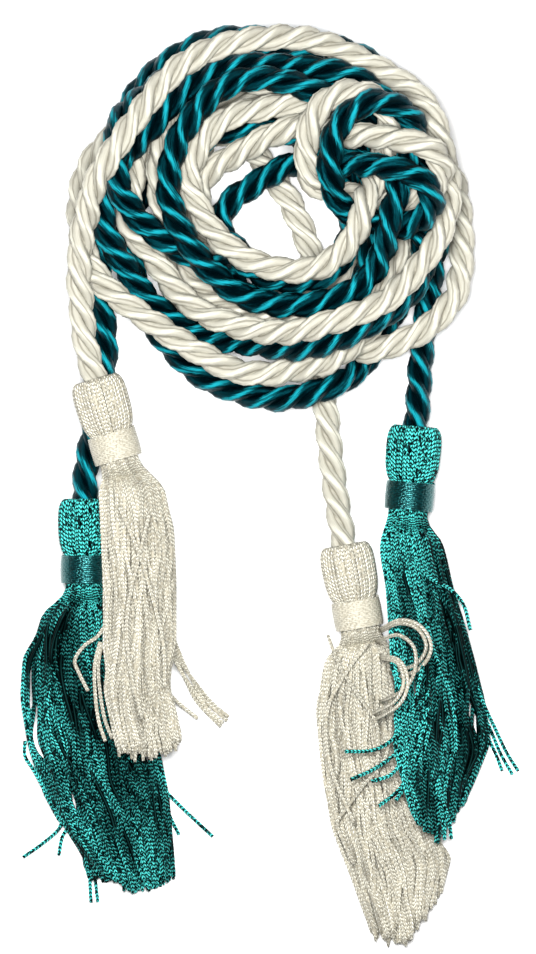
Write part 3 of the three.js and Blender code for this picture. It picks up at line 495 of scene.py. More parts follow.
@dataclass(frozen=True)
class Settling:
    """Lets the ropes down on the surface and on each other, as the source of the solids does."""

    rope: RopeSizes = RopeSizes()
    sweeps: int = 420
    closing: int = 140
    falling: float = 0.85
    sink: float = 0.25
    hold_seen: float = 0.25
    hold_hidden: float = 0.12
    yielding: float = 0.5
    longest_gap: float = 1.2
    closing_hold: float = 0.1
    evening: float = 0.3
    closing_evening: float = 0.08
    contact_passes: int = 3
    overshoot: float = 1.3
    reach: float = 1.35
    refresh: int = 8
    own_reach: float = 1.9
    pinned: int = 4

    def near_pairs(self, place: np.ndarray, owner: np.ndarray) -> tuple[np.ndarray, np.ndarray]:
        """Finds samples that are near each other and don't follow one another on one rope.

        Args:
            place: The samples' places.
            owner: The number of each sample's rope.

        Returns:
            The two lists of partners.
        """
        count = len(place)
        skip = math.ceil(self.own_reach * self.rope.pitch / self.rope.sample)
        order = np.arange(count)
        apart = order[None, :] - order[:, None]
        allowed = (apart > 0) & ((owner[:, None] != owner[None, :]) | (apart >= skip))
        gaps = place[:, None, :] - place[None, :, :]
        near = (gaps * gaps).sum(axis=2) < (self.rope.pitch * self.reach) ** 2
        return np.nonzero(allowed & near)

    def push_apart(
        self,
        place: np.ndarray,
        loose: np.ndarray,
        give: np.ndarray,
        pairs: tuple[np.ndarray, np.ndarray],
    ) -> None:
        """Pushes pairs that overlap apart, each sample by the mean of what its pairs ask for.

        Args:
            place: The samples' places, which it changes.
            loose: True where a sample may move.
            give: How far each sample gives way, next to its partner.
            pairs: The pairs that are watched.
        """
        first, second = pairs
        gap = place[first] - place[second]
        distance = np.sqrt((gap * gap).sum(axis=1))
        close = distance < self.rope.pitch
        first, second = first[close], second[close]
        missing = (self.rope.pitch - distance[close]) / distance[close]
        push = gap[close] * missing[:, None]
        share = (give[first] / (give[first] + give[second]))[:, None]
        total = np.zeros_like(place)
        count = np.zeros(len(place))
        np.add.at(total, first, push * share)
        np.add.at(total, second, push * (share - 1))
        np.add.at(count, first, 1)
        np.add.at(count, second, 1)
        moved = place + total * (self.overshoot / np.maximum(count, 1))[:, None]
        moved[:, 2] = np.maximum(moved[:, 2], self.rope.diameter / 2)
        place[loose] = moved[loose]

    def rejoin(self, place: np.ndarray, loose: np.ndarray) -> None:
        """Pulls neighbours on one rope together again where it has stretched.

        Args:
            place: The places of one rope's samples, which it changes.
            loose: True where a sample may move.
        """
        longest = self.rope.sample * self.longest_gap
        step = np.diff(place, axis=0)
        length = np.linalg.norm(step, axis=1)
        move = step * (np.maximum(length - longest, 0) / length / 2)[:, None]
        pulled = place.copy()
        pulled[:-1] += move
        pulled[1:] -= move
        pulled[:, 2] = np.maximum(pulled[:, 2], self.rope.diameter / 2)
        place[loose] = pulled[loose]

    def even(self, place: np.ndarray, home: np.ndarray, loose: np.ndarray, strength: float) -> None:
        """Evens one rope: its height directly, and in plan how far it has moved from its home.

        Args:
            place: The places of one rope's samples, which it changes.
            home: The places that they started from.
            loose: True where a sample may move.
            strength: Share of the difference that is taken out.
        """
        value = place.copy()
        value[:, :2] -= home[:, :2]
        step = strength * ((value[:-2] + value[2:]) / 2 - value[1:-1])
        inner = loose[1:-1]
        place[1:-1][inner] += step[inner]

    def settle(self, ropes: list[tuple[np.ndarray, np.ndarray]]) -> list[np.ndarray]:
        """Settles the ropes.

        Args:
            ropes: For each rope its samples and how far each of them shows.

        Returns:
            The settled samples of each rope.
        """
        place = np.vstack([samples for samples, _ in ropes])
        home = place.copy()
        seen = np.concatenate([shows for _, shows in ropes])
        counts = [len(samples) for samples, _ in ropes]
        owner = np.repeat(np.arange(len(ropes)), counts)
        starts = np.concatenate([[0], np.cumsum(counts)])
        spans = list(zip(starts[:-1], starts[1:]))
        loose = np.ones(len(place), bool)
        for start, end in spans:
            loose[start : start + self.pinned] = False
            loose[end - self.pinned : end] = False
        firm = np.where(seen > 0.5, self.hold_seen, self.hold_hidden)
        give = np.where(seen > 0.5, self.yielding, 1.0)
        pairs = self.near_pairs(place, owner)
        for sweep in range(self.sweeps + self.closing):
            if sweep % self.refresh == 0:
                pairs = self.near_pairs(place, owner)
            closing = sweep >= self.sweeps
            hold = firm[:, None] * (self.closing_hold if closing else 1.0)
            pulled = place.copy()
            pulled[:, :2] += hold * (home[:, :2] - place[:, :2])
            if sweep < self.sweeps * self.falling:
                pulled[:, 2] -= self.sink
            place[loose] = pulled[loose]
            for start, end in spans:
                part = slice(start, end)
                strength = self.closing_evening if closing else self.evening
                self.even(place[part], home[part], loose[part], strength)
            for _ in range(self.contact_passes):
                self.push_apart(place, loose, give, pairs)
                for start, end in spans:
                    self.rejoin(place[start:end], loose[start:end])
        return [place[start:end] for start, end in spans]


def spline_through(points: np.ndarray, fine: int) -> np.ndarray:
    """Runs a centripetal Catmull-Rom spline through points.

    Args:
        points: The points, one a row.
        fine: Steps between two of them.

    Returns:
        The points of the spline.
    """
    before = 2 * points[0] - points[1]
    after = 2 * points[-1] - points[-2]
    p = np.vstack([before, points, after])
    gaps = ((p[1:] - p[:-1]) ** 2).sum(axis=1) ** 0.25
    d0, d1, d2 = gaps[:-2, None], gaps[1:-1, None], gaps[2:, None]
    p0, p1, p2, p3 = p[:-3], p[1:-2], p[2:-1], p[3:]
    leave = ((p1 - p0) / d0 - (p2 - p0) / (d0 + d1) + (p2 - p1) / d1) * d1
    arrive = ((p2 - p1) / d1 - (p3 - p1) / (d1 + d2) + (p3 - p2) / d2) * d1
    square = -3 * p1 + 3 * p2 - 2 * leave - arrive
    cube = 2 * p1 - 2 * p2 + leave + arrive
    share = (np.arange(fine) / fine)[None, :, None]
    inner = p1[:, None] + share * (
        leave[:, None] + share * (square[:, None] + share * cube[:, None])
    )
    return np.vstack([inner.reshape(-1, points.shape[1]), points[-1]])


def spread_evenly(points: np.ndarray, count: int) -> np.ndarray:
    """Places a number of points evenly along a polyline.

    Args:
        points: The polyline's points.
        count: How many points to place.

    Returns:
        The new points.
    """
    run = np.concatenate([[0], np.cumsum(np.linalg.norm(np.diff(points, axis=0), axis=1))])
    marks = np.linspace(0, run[-1], count)
    return np.stack([np.interp(marks, run, points[:, k]) for k in range(points.shape[1])], axis=1)


def unit(vectors: np.ndarray) -> np.ndarray:
    """Gives vectors the length 1."""
    return vectors / np.maximum(np.linalg.norm(vectors, axis=-1, keepdims=True), 1e-12)


def directions(paths: np.ndarray) -> np.ndarray:
    """Finds the directions of paths, whose steps are on the last axis but one."""
    return unit(np.gradient(paths, axis=-2))


def squared(vectors: np.ndarray, ahead: np.ndarray) -> np.ndarray:
    """Turns vectors square to the directions ahead and gives them the length 1."""
    return unit(vectors - (vectors * ahead).sum(axis=-1, keepdims=True) * ahead)


def carry_side(paths: np.ndarray, first: np.ndarray) -> np.ndarray:
    """Carries a side direction along paths without twisting it.

    Args:
        paths: Paths of one number of steps, shaped (paths, steps, 3).
        first: The side direction that each path starts with, shaped (paths, 3).

    Returns:
        The side directions at every step.
    """
    along = directions(paths)
    sides = np.empty_like(paths)
    side = first
    for step in range(paths.shape[1]):
        side = squared(side, along[:, step])
        sides[:, step] = side
    return sides


def ease(share: np.ndarray | float) -> np.ndarray:
    """Eases a share from 0 to 1 in and out."""
    held = np.clip(share, 0, 1)
    return held * held * (3 - 2 * held)


def put_in_scene(mesh: bpy.types.Mesh, name: str, material: bpy.types.Material) -> bpy.types.Object:
    """Makes an object of a mesh.

    Args:
        mesh: The finished mesh, in metres.
        name: The piece's name.
        material: Its finish.

    Returns:
        The object.
    """
    mesh.materials.append(material)
    piece = bpy.data.objects.new(name, mesh)
    bpy.context.scene.collection.objects.link(piece)
    return piece


def write_map(mesh: bpy.types.Mesh, name: str, first: np.ndarray, second: np.ndarray) -> None:
    """Writes a map's two values for every corner of a mesh."""
    mesh.uv_layers[name].data.foreach_set("uv", np.stack([first, second], 1).reshape(-1))


def roll_strands(
    name: str,
    paths: np.ndarray,
    radii: np.ndarray,
    outward: np.ndarray,
    sides: int,
    rope: RopeSizes | None = None,
    openness: np.ndarray | None = None,
) -> bpy.types.Mesh:
    """Rolls one sheet a path into a closed strand, and keeps all of them in one mesh.

    Its map holds the millimetres along a strand, and the share of a turn round it plus the
    strand's number. A second map holds how open a strand lies to the light, for painted shade.

    Args:
        name: Name of the mesh.
        paths: The strands' middle lines, shaped (strands, steps, 3).
        radii: Their radii, shaped (strands, steps).
        outward: The side that each turn starts from, shaped as the paths.
        sides: Faces round a strand.
        rope: The sizes of the rope, where the strands are its plied strands.
        openness: How open the strands lie to the light, which the finish paints as shade, shaped as the
            radii.

    Returns:
        The mesh, in metres.
    """
    count, steps, _ = paths.shape
    sheet = bmesh.new()
    sheet.loops.layers.uv.new(LAY_MAP)
    sheet.loops.layers.uv.new(OPEN_MAP)
    bmesh.ops.create_grid(sheet, x_segments=steps - 1, y_segments=sides, size=1.0, calc_uvs=True)
    flat = bpy.data.meshes.new(name + "_sheet")
    sheet.to_mesh(flat)
    sheet.free()
    sheets = bmesh.new()
    for _ in range(count):
        sheets.from_mesh(flat)
    mesh = bpy.data.meshes.new(name)
    sheets.to_mesh(mesh)
    sheets.free()
    places = np.empty(len(mesh.vertices) * 3)
    mesh.vertices.foreach_get("co", places)
    each = len(flat.vertices)
    step = np.rint((places.reshape(-1, 3)[:each, 0] + 1) / 2 * (steps - 1)).astype(int)
    side = np.rint((places.reshape(-1, 3)[:each, 1] + 1) / 2 * sides)
    turn = -2 * math.pi * side / sides
    run = np.linalg.norm(np.diff(paths, axis=1), axis=2).cumsum(axis=1)
    run = np.concatenate([np.zeros((count, 1)), run], axis=1)
    reach = radii[:, step]
    if rope is not None:
        phase = rope.plies * (turn / 2 - math.pi * run[:, step] / rope.ply_lay)
        ridge = np.abs(np.cos(phase)) ** rope.ply_rounding
        reach = reach * (1 - rope.ply_groove * (1 - ridge))
    binormal = np.cross(directions(paths), outward)
    reached = np.cos(turn)[None, :, None] * outward[:, step]
    reached = reached + np.sin(turn)[None, :, None] * binormal[:, step]
    rolled = (paths[:, step] + reach[..., None] * reached) * MM
    rolled[..., 2] = np.maximum(rolled[..., 2], 0)
    mesh.vertices.foreach_set("co", rolled.reshape(-1))
    corners = np.empty(len(mesh.loops), int)
    mesh.loops.foreach_get("vertex_index", corners)
    along = run[:, step].reshape(-1)[corners]
    round_it = (np.arange(count)[:, None] + side[None, :] / sides).reshape(-1)[corners]
    write_map(mesh, LAY_MAP, along, round_it)
    shown = np.ones(radii.shape) if openness is None else openness
    shown = shown[:, step].reshape(-1)[corners]
    write_map(mesh, OPEN_MAP, shown, shown)
    bpy.data.meshes.remove(flat)
    close_strands(mesh, sides)
    return mesh


def close_strands(mesh: bpy.types.Mesh, sides: int) -> None:
    """Joins each rolled sheet along its seam and closes its two ends.

    Args:
        mesh: The mesh, which it changes.
        sides: Faces round a strand.
    """
    strands = bmesh.new()
    strands.from_mesh(mesh)
    bmesh.ops.remove_doubles(strands, verts=strands.verts, dist=SAME_CORNER)
    for face in strands.faces:
        face.smooth = True
    rims = [edge for edge in strands.edges if edge.is_boundary]
    bmesh.ops.holes_fill(strands, edges=rims, sides=sides)
    strands.to_mesh(mesh)
    strands.free()


@dataclass
class Sockets:
    """The sockets and the frame of axes of one tassel."""

    place: TasselPlace
    sizes: TasselSizes = TasselSizes()
    rope: RopeSizes = RopeSizes()
    along: np.ndarray = field(init=False)
    across: np.ndarray = field(init=False)
    crown: np.ndarray = field(init=False)

    def __post_init__(self) -> None:
        """Works out the axes."""
        angle = math.radians(self.place.turn)
        height = self.place.lift * self.sizes.head_diameter + self.sizes.axis_height
        self.along = np.array([math.sin(angle), -math.cos(angle), 0.0])
        self.across = np.array([math.cos(angle), math.sin(angle), 0.0])
        self.crown = np.array([*self.place.crown, height])

    def rope_points(self) -> np.ndarray:
        """Finds the two points that lead a rope straight into the socket, the inner one first."""
        inside = self.crown + self.along * (self.sizes.socket_depth - self.sizes.wrap_clearance)
        outside = self.crown - self.along * self.rope.diameter
        return np.stack([inside, outside])


@dataclass
class TwistedRope:
    """A rope of three strands, each a bundle of satin plies, that turns to the left."""

    name: str
    centreline: np.ndarray
    sizes: RopeSizes = RopeSizes()

    @classmethod
    def samples(
        cls, route: tuple[tuple[float, float, float, int], ...], first: Sockets, last: Sockets
    ) -> tuple[np.ndarray, np.ndarray]:
        """Samples a route evenly from one tassel to the other, before it is settled.

        Args:
            route: Rows of x, y, layer, and 1 where the stretch shows.
            first: The tassel that it leaves.
            last: The tassel that it enters.

        Returns:
            The samples, and how far each of them shows.
        """
        sizes = RopeSizes()
        rows = np.array(route, float)
        rows[:, 2] = sizes.diameter / 2 + rows[:, 2] * sizes.pitch
        start = np.column_stack([first.rope_points(), np.ones(2)])
        finish = np.column_stack([last.rope_points()[::-1], np.ones(2)])
        points = np.vstack([start, rows, finish])
        fine = 16
        dense = spline_through(points[:, :3], fine)
        run = np.linalg.norm(np.diff(dense[:, :2], axis=0), axis=1).cumsum()
        run = np.concatenate([[0], run])
        count = round(run[-1] / sizes.sample)
        marks = run[-1] * np.arange(count + 1) / count
        places = np.stack([np.interp(marks, run, dense[:, k]) for k in range(3)], axis=1)
        at = np.interp(marks, run, np.arange(len(dense)) / fine)
        return places, np.interp(at, np.arange(len(points)), points[:, 3])

    def build(self, material: bpy.types.Material) -> bpy.types.Object:
        """Builds the rope.

        Args:
            material: Its finish.

        Returns:
            The piece.
        """
        sizes = self.sizes
        smooth = spline_through(self.centreline, fine=6)
        length = np.linalg.norm(np.diff(smooth, axis=0), axis=1).sum()
        line = spread_evenly(smooth, round(length / sizes.step) + 1)
        up = carry_side(line[None], np.array([[0.0, 0.0, 1.0]]))[0]
        right = np.cross(directions(line), up)
        run = np.linspace(0, length, len(line))
        paths = []
        outward = []
        for strand in range(sizes.strands):
            angle = 2 * math.pi * (strand / sizes.strands - run / sizes.lay)
            out = np.cos(angle)[:, None] * up + np.sin(angle)[:, None] * right
            paths.append(line + sizes.helix_radius * out)
            outward.append(out)
        paths = np.stack(paths)
        outward = squared(np.stack(outward), directions(paths))
        radii = np.full(paths.shape[:2], sizes.strand_radius)
        mesh = roll_strands(self.name, paths, radii, outward, sizes.sides, rope=sizes)
        LOG.info("%s is %.0f mm long", self.name, length)
        return put_in_scene(mesh, self.name, material)

    @property
    def length(self) -> float:
        """Length of the rope's centreline in millimetres."""
        return float(np.linalg.norm(np.diff(self.centreline, axis=0), axis=1).sum())


@dataclass
class Tassel:
    """A tassel: strings folded over the rope's end, a wound neck and a lying skirt."""

    place: TasselPlace
    sizes: TasselSizes = TasselSizes()
    lay: SkirtLay = SkirtLay()
    thread: WrapSizes = WrapSizes()

    def __post_init__(self) -> None:
        """Sets up the axes and the seeded choice of the strings."""
        self.sockets = Sockets(self.place)
        self.chance = np.random.default_rng(self.place.seed)

    def at(self, down: np.ndarray, radius: np.ndarray, angle: np.ndarray) -> np.ndarray:
        """Finds points by their distance down the head's axis, their radius and angle."""
        frame = self.sockets
        third = np.cross(frame.across, frame.along)
        side = np.cos(angle)[..., None] * frame.across + np.sin(angle)[..., None] * third
        return frame.crown + down[..., None] * frame.along + radius[..., None] * side

    def head_mesh(self) -> bpy.types.Mesh:
        """Lays the head's strings from the rope over the crown and down into the neck."""
        sizes, frame = self.sizes, self.sockets
        line = spread_evenly(spline_through(np.array(HEAD_PROFILE), fine=8), sizes.head_steps)
        count = sizes.head_strings
        angles = np.arange(count) / count * 2 * math.pi
        wander = self.chance.normal(0, sizes.head_wander, count)[:, None]
        angle = angles[:, None] + wander + np.zeros(len(line))
        swell = 1 + self.chance.normal(0, sizes.head_wander, count)[:, None]
        paths = self.at(np.broadcast_to(line[:, 0], angle.shape), line[:, 1] * swell, angle)
        room = 2 * math.pi * line[:, 1] / count / 2
        radii = np.minimum(room * sizes.head_overlap, sizes.string_radius)
        radii = np.broadcast_to(radii, angle.shape)
        outward = unit(paths - (frame.crown + line[:, 0][None, :, None] * frame.along))
        outward = squared(outward, directions(paths))
        name = self.place.name + "_head"
        return roll_strands(name, paths, radii, outward, sizes.string_sides)

    def skirt_rows(self, down: np.ndarray) -> np.ndarray:
        """Reads the skirt's rows, smoothed, at some distances down.

        Args:
            down: Shares of the skirt's length.

        Returns:
            Rows of across, width share, left lift and right lift, on a last axis.
        """
        lay = self.lay
        rows = np.array(self.place.skirt)
        marks = np.linspace(lay.rows_from, lay.rows_to, lay.row_marks)
        kernel = np.hanning(2 * lay.smoothing + 1)
        kernel /= kernel.sum()
        columns = []
        for values in rows[:, 1:].T:
            padded = np.pad(np.interp(marks, rows[:, 0], values), lay.smoothing, mode="edge")
            columns.append(np.interp(down, marks, np.convolve(padded, kernel, mode="valid")))
        return np.stack(columns, axis=-1)

    def skirt_point(self, down: np.ndarray, side: np.ndarray, level: np.ndarray) -> np.ndarray:
        """Finds points in the lying skirt.

        Args:
            down: Shares of the skirt's length.
            side: Places from -1 at the left edge to 1 at the right one.
            level: Places from 0 at the bottom to 1 on top.

        Returns:
            The points.
        """
        sizes, lay, frame = self.sizes, self.lay, self.sockets
        neck = frame.crown + frame.along * sizes.skirt_start
        across, share, left, right = np.moveaxis(self.skirt_rows(down), -1, 0)
        half = share * sizes.skirt_spread * lay.fullness - sizes.string_radius
        blend = np.clip(down / lay.squared_by, 0, 1)[..., None]
        sideways = unit(frame.across * (1 - blend) + np.array([1.0, 0.0, 0.0]) * blend)
        ends = np.interp(side, [-1, 0, 1], self.place.ends)
        last = self.place.skirt[-1][0]
        stretch = 1 + (ends - 1) * np.clip(down / last, 0, 1) ** 2
        point = neck + np.stack(
            [across * sizes.skirt_length, -down * stretch * sizes.skirt_length, 0 * down], axis=-1
        )
        point = point + sideways * (side * half)[..., None]
        raised = np.maximum((sizes.lift_ends - side) / (sizes.lift_ends + 1), 0)
        lift = sizes.head_diameter * (right + (left - right) * raised)
        thinner = sizes.skirt_end_thickness - sizes.skirt_thickness
        thick = sizes.skirt_thickness + thinner * np.clip(down, 0, 1)
        thick = thick * (1 - sizes.edge_thinning * side * side)
        room = np.maximum(thick - 2 * sizes.string_radius, lay.least_room)
        point[..., 2] = lift + sizes.string_radius + level * room
        return point

    def skirt_mesh(self) -> bpy.types.Mesh:
        """Lays the skirt's strings, which run in locks that turn and cross on their way."""
        sizes, lay, chance = self.sizes, self.lay, self.chance
        count, locks = sizes.strings, lay.locks
        number = np.arange(count)
        reach = np.sqrt((number + 0.5) / count)
        angle = number * GOLDEN_ANGLE
        disc_x, disc_y = reach * np.cos(angle), reach * np.sin(angle)
        chord = np.sqrt(np.maximum(1 - disc_x**2, lay.least_chord))
        even_x = 2 / math.pi * (np.arcsin(disc_x) + disc_x * chord)
        side0 = lay.even_share * even_x + (1 - lay.even_share) * disc_x
        level0 = (np.clip(disc_y / chord, -1, 1) + 1) / 2
        lock = np.clip(((side0 + 1) / 2 * locks).astype(int), 0, locks - 1)
        last = self.place.skirt[-1][0]
        spread = chance.normal(0, lay.length_spread, count)
        length = last * (1 + spread - lay.shortening * chance.random(count) ** 4)
        share = np.linspace(0, 1, sizes.string_steps)[None, :]
        down = -lay.above_neck + share * (length[:, None] + lay.above_neck)
        middle = ((lock + 0.5) / locks * 2 - 1)[:, None]
        turn = chance.normal(0, lay.lock_turn, locks)[lock][:, None] * ease(down / last)
        from_side = side0[:, None] - middle
        from_level = level0[:, None] - 0.5
        off_side = from_side * np.cos(turn) + from_level * np.sin(turn) * (2.0 / locks)
        off_level = from_side * np.sin(turn) * (locks / 2.0) * lay.level_turn
        off_level = from_level * np.cos(turn) - off_level
        fanned = ease(down / lay.fanned_by)
        waves = np.zeros_like(down)
        for pace in lay.side_paces:
            lot = chance.normal(0, 1, locks)[lock][:, None]
            lot = lot + chance.normal(0, lay.own_lot, (count, 1))
            start = chance.random(locks)[lock][:, None] + lay.own_start * chance.random((count, 1))
            waves += lot * np.sin(2 * math.pi * (pace * down + start)) / pace
        side = middle + off_side + lay.side_wave * waves * fanned
        lift_waves = np.zeros_like(down)
        for pace in lay.level_paces:
            lot = chance.normal(0, 1, (count, 1))
            start = chance.random((count, 1))
            lift_waves += lot * np.sin(2 * math.pi * (pace * down + start)) / pace
        level = 0.5 + off_level + lay.level_wave * lift_waves * fanned
        lying = self.skirt_point(np.maximum(down, 0), np.clip(side, -1, 1), np.clip(level, 0, 1))
        neck = sizes.neck_diameter / 2 - lay.neck_inset
        straight = self.at(
            sizes.skirt_start + down * sizes.skirt_length,
            np.broadcast_to((reach * neck)[:, None], down.shape),
            np.broadcast_to(angle[:, None], down.shape),
        )
        laid = ease(down / lay.laid_by)[..., None]
        paths = straight * (1 - laid) + lying * laid
        paths[..., 2] = np.maximum(paths[..., 2], sizes.string_radius)
        thicker = sizes.string_radius - lay.first_radius
        radii = lay.first_radius + thicker * ease(down / lay.full_radius_by)
        radii = radii * (1 - lay.tip_thinning * ease((share - lay.tip_start) / lay.tip_length))
        openness = self.openness(down / last, side)
        strays = [self.stray_paths(stray) for stray in self.place.strays]
        if strays:
            loose = np.concatenate(strays)
            thin = np.full(loose.shape[:2], sizes.string_radius * lay.stray_thickness)
            shown = np.full(loose.shape[:2], lay.stray_openness)
            paths = np.concatenate([paths, loose])
            radii = np.concatenate([radii, thin])
            openness = np.concatenate([openness, shown])
        first = np.broadcast_to([0.0, 0.0, 1.0], (len(paths), 3))
        outward = carry_side(paths, first)
        name = self.place.name + "_skirt"
        return roll_strands(name, paths, radii, outward, sizes.string_sides, openness=openness)

    def openness(self, down: np.ndarray, side: np.ndarray) -> np.ndarray:
        """Works out how open the skirt's strings lie to the light, for the shade that their finish
        paints.

        Args:
            down: Shares of the skirt's length, a row for each string.
            side: Places from the left edge to the right one.

        Returns:
            Shares from 0 in a hollow to 1.
        """
        lay = self.lay
        lost = np.zeros_like(down)
        shift = self.chance.normal(0, 1, (4, len(down), 1))
        for spot in self.place.painted_hollow_shade:
            far = (down - spot.down - lay.hollow_shift_down * shift[0]) / spot.long
            off = (side - spot.side - lay.hollow_shift_side * shift[1]) / spot.wide
            fading = np.exp(-((far * far + off * off) ** lay.hollow_edge))
            lost = np.maximum(lost, spot.depth * fading)
        # Single strings are also painted darker in stretches along their length, as shade.
        flicker = np.sin(2 * math.pi * (lay.flicker_pace * down + shift[2])) * 0.5 + 0.5
        strength = np.clip(np.abs(shift[3]) - lay.flicker_threshold, 0, 1)
        lost = lost + lay.flicker_depth * strength * flicker
        return np.clip(1 - lost, 0, 1)

    def stray_paths(self, stray: Stray) -> np.ndarray:
        """Works out the paths of a few stray strings.

        Args:
            stray: Their way, heights and number.

        Returns:
            The paths, shaped (strings, steps, 3).
        """
        lay, steps = self.lay, self.sizes.string_steps
        way = spread_evenly(spline_through(np.array(stray.way, float), fine=12), steps)
        ahead = directions(way)
        aside = np.stack([ahead[:, 1], -ahead[:, 0]], axis=1)
        share = np.linspace(0, 1, steps)
        low, high = stray.heights[1], stray.heights[0]
        height = high + (low - high) * ease(share * lay.stray_drop)
        height = height + stray.arch * np.sin(math.pi * share) ** lay.arch_rounding
        paths = []
        for k in range(stray.strings):
            shift = (k - (stray.strings - 1) / 2) * stray.gap * (lay.stray_fan + share)
            flat = way + aside * shift[:, None]
            paths.append(np.column_stack([flat, height]))
        return np.stack(paths)

    def core_mesh(self) -> bpy.types.Mesh:
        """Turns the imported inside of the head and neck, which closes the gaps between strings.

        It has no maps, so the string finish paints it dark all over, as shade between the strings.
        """
        frame = self.sockets
        core = bmesh.new()
        third = np.cross(frame.across, frame.along)
        places = [
            (frame.crown + down * frame.along + radius * third) * MM
            for down, radius in CORE_PROFILE
        ]
        points = [core.verts.new(place) for place in places]
        edges = [core.edges.new(pair) for pair in zip(points[:-1], points[1:])]
        bmesh.ops.spin(
            core,
            geom=points + edges,
            cent=Vector(frame.crown * MM),
            axis=Vector(frame.along),
            dvec=Vector((0, 0, 0)),
            angle=2 * math.pi,
            steps=32,
            use_merge=True,
            use_duplicate=False,
        )
        bmesh.ops.remove_doubles(core, verts=core.verts, dist=SAME_CORNER)
        bmesh.ops.recalc_face_normals(core, faces=core.faces)
        mesh = bpy.data.meshes.new(self.place.name + "_core")
        core.to_mesh(mesh)
        core.free()
        return mesh

    def build(self, strings: bpy.types.Material) -> bpy.types.Object:
        """Builds the tassel without its wrap.

        Args:
            strings: The finish of its strings.

        Returns:
            The piece.
        """
        whole = bmesh.new()
        whole.loops.layers.uv.new(LAY_MAP)
        whole.loops.layers.uv.new(OPEN_MAP)
        for part in (self.head_mesh(), self.skirt_mesh(), self.core_mesh()):
            whole.from_mesh(part)
            bpy.data.meshes.remove(part)
        mesh = bpy.data.meshes.new(self.place.name)
        whole.to_mesh(mesh)
        whole.free()
        piece = put_in_scene(mesh, self.place.name + "_strings", strings)
        LOG.info("%s has %d faces", self.place.name, len(mesh.polygons))
        return piece

    def build_wrap(self, thread: bpy.types.Material) -> bpy.types.Object:
        """Winds the thread round the neck.

        Args:
            thread: The finish of the thread.

        Returns:
            The piece.
        """
        sizes, wound = self.sizes, self.thread
        share = np.linspace(0, 1, wound.turns * wound.steps + 1)
        top = sizes.head_length + wound.below_head
        bottom = sizes.head_length + sizes.wrap_length - wound.above_end
        down = top + (bottom - top) * share
        wave = 2 * math.pi * wound.turns * share * wound.wander_pace + self.place.seed
        down = down + wound.wander * np.sin(wave)
        angle = 2 * math.pi * wound.turns * share
        swell = wound.swell * np.sin(math.pi * share) ** 0.5
        radius = sizes.neck_diameter / 2 + wound.lift + swell
        path = self.at(down, radius, angle)[None]
        radii = np.full(path.shape[:2], wound.radius)
        middle = self.sockets.crown + down[:, None] * self.sockets.along
        outward = unit(path - middle[None])
        mesh = roll_strands(self.place.wrap_name, path, radii, outward, wound.sides)
        return put_in_scene(mesh, self.place.wrap_name + "_thread", thread)


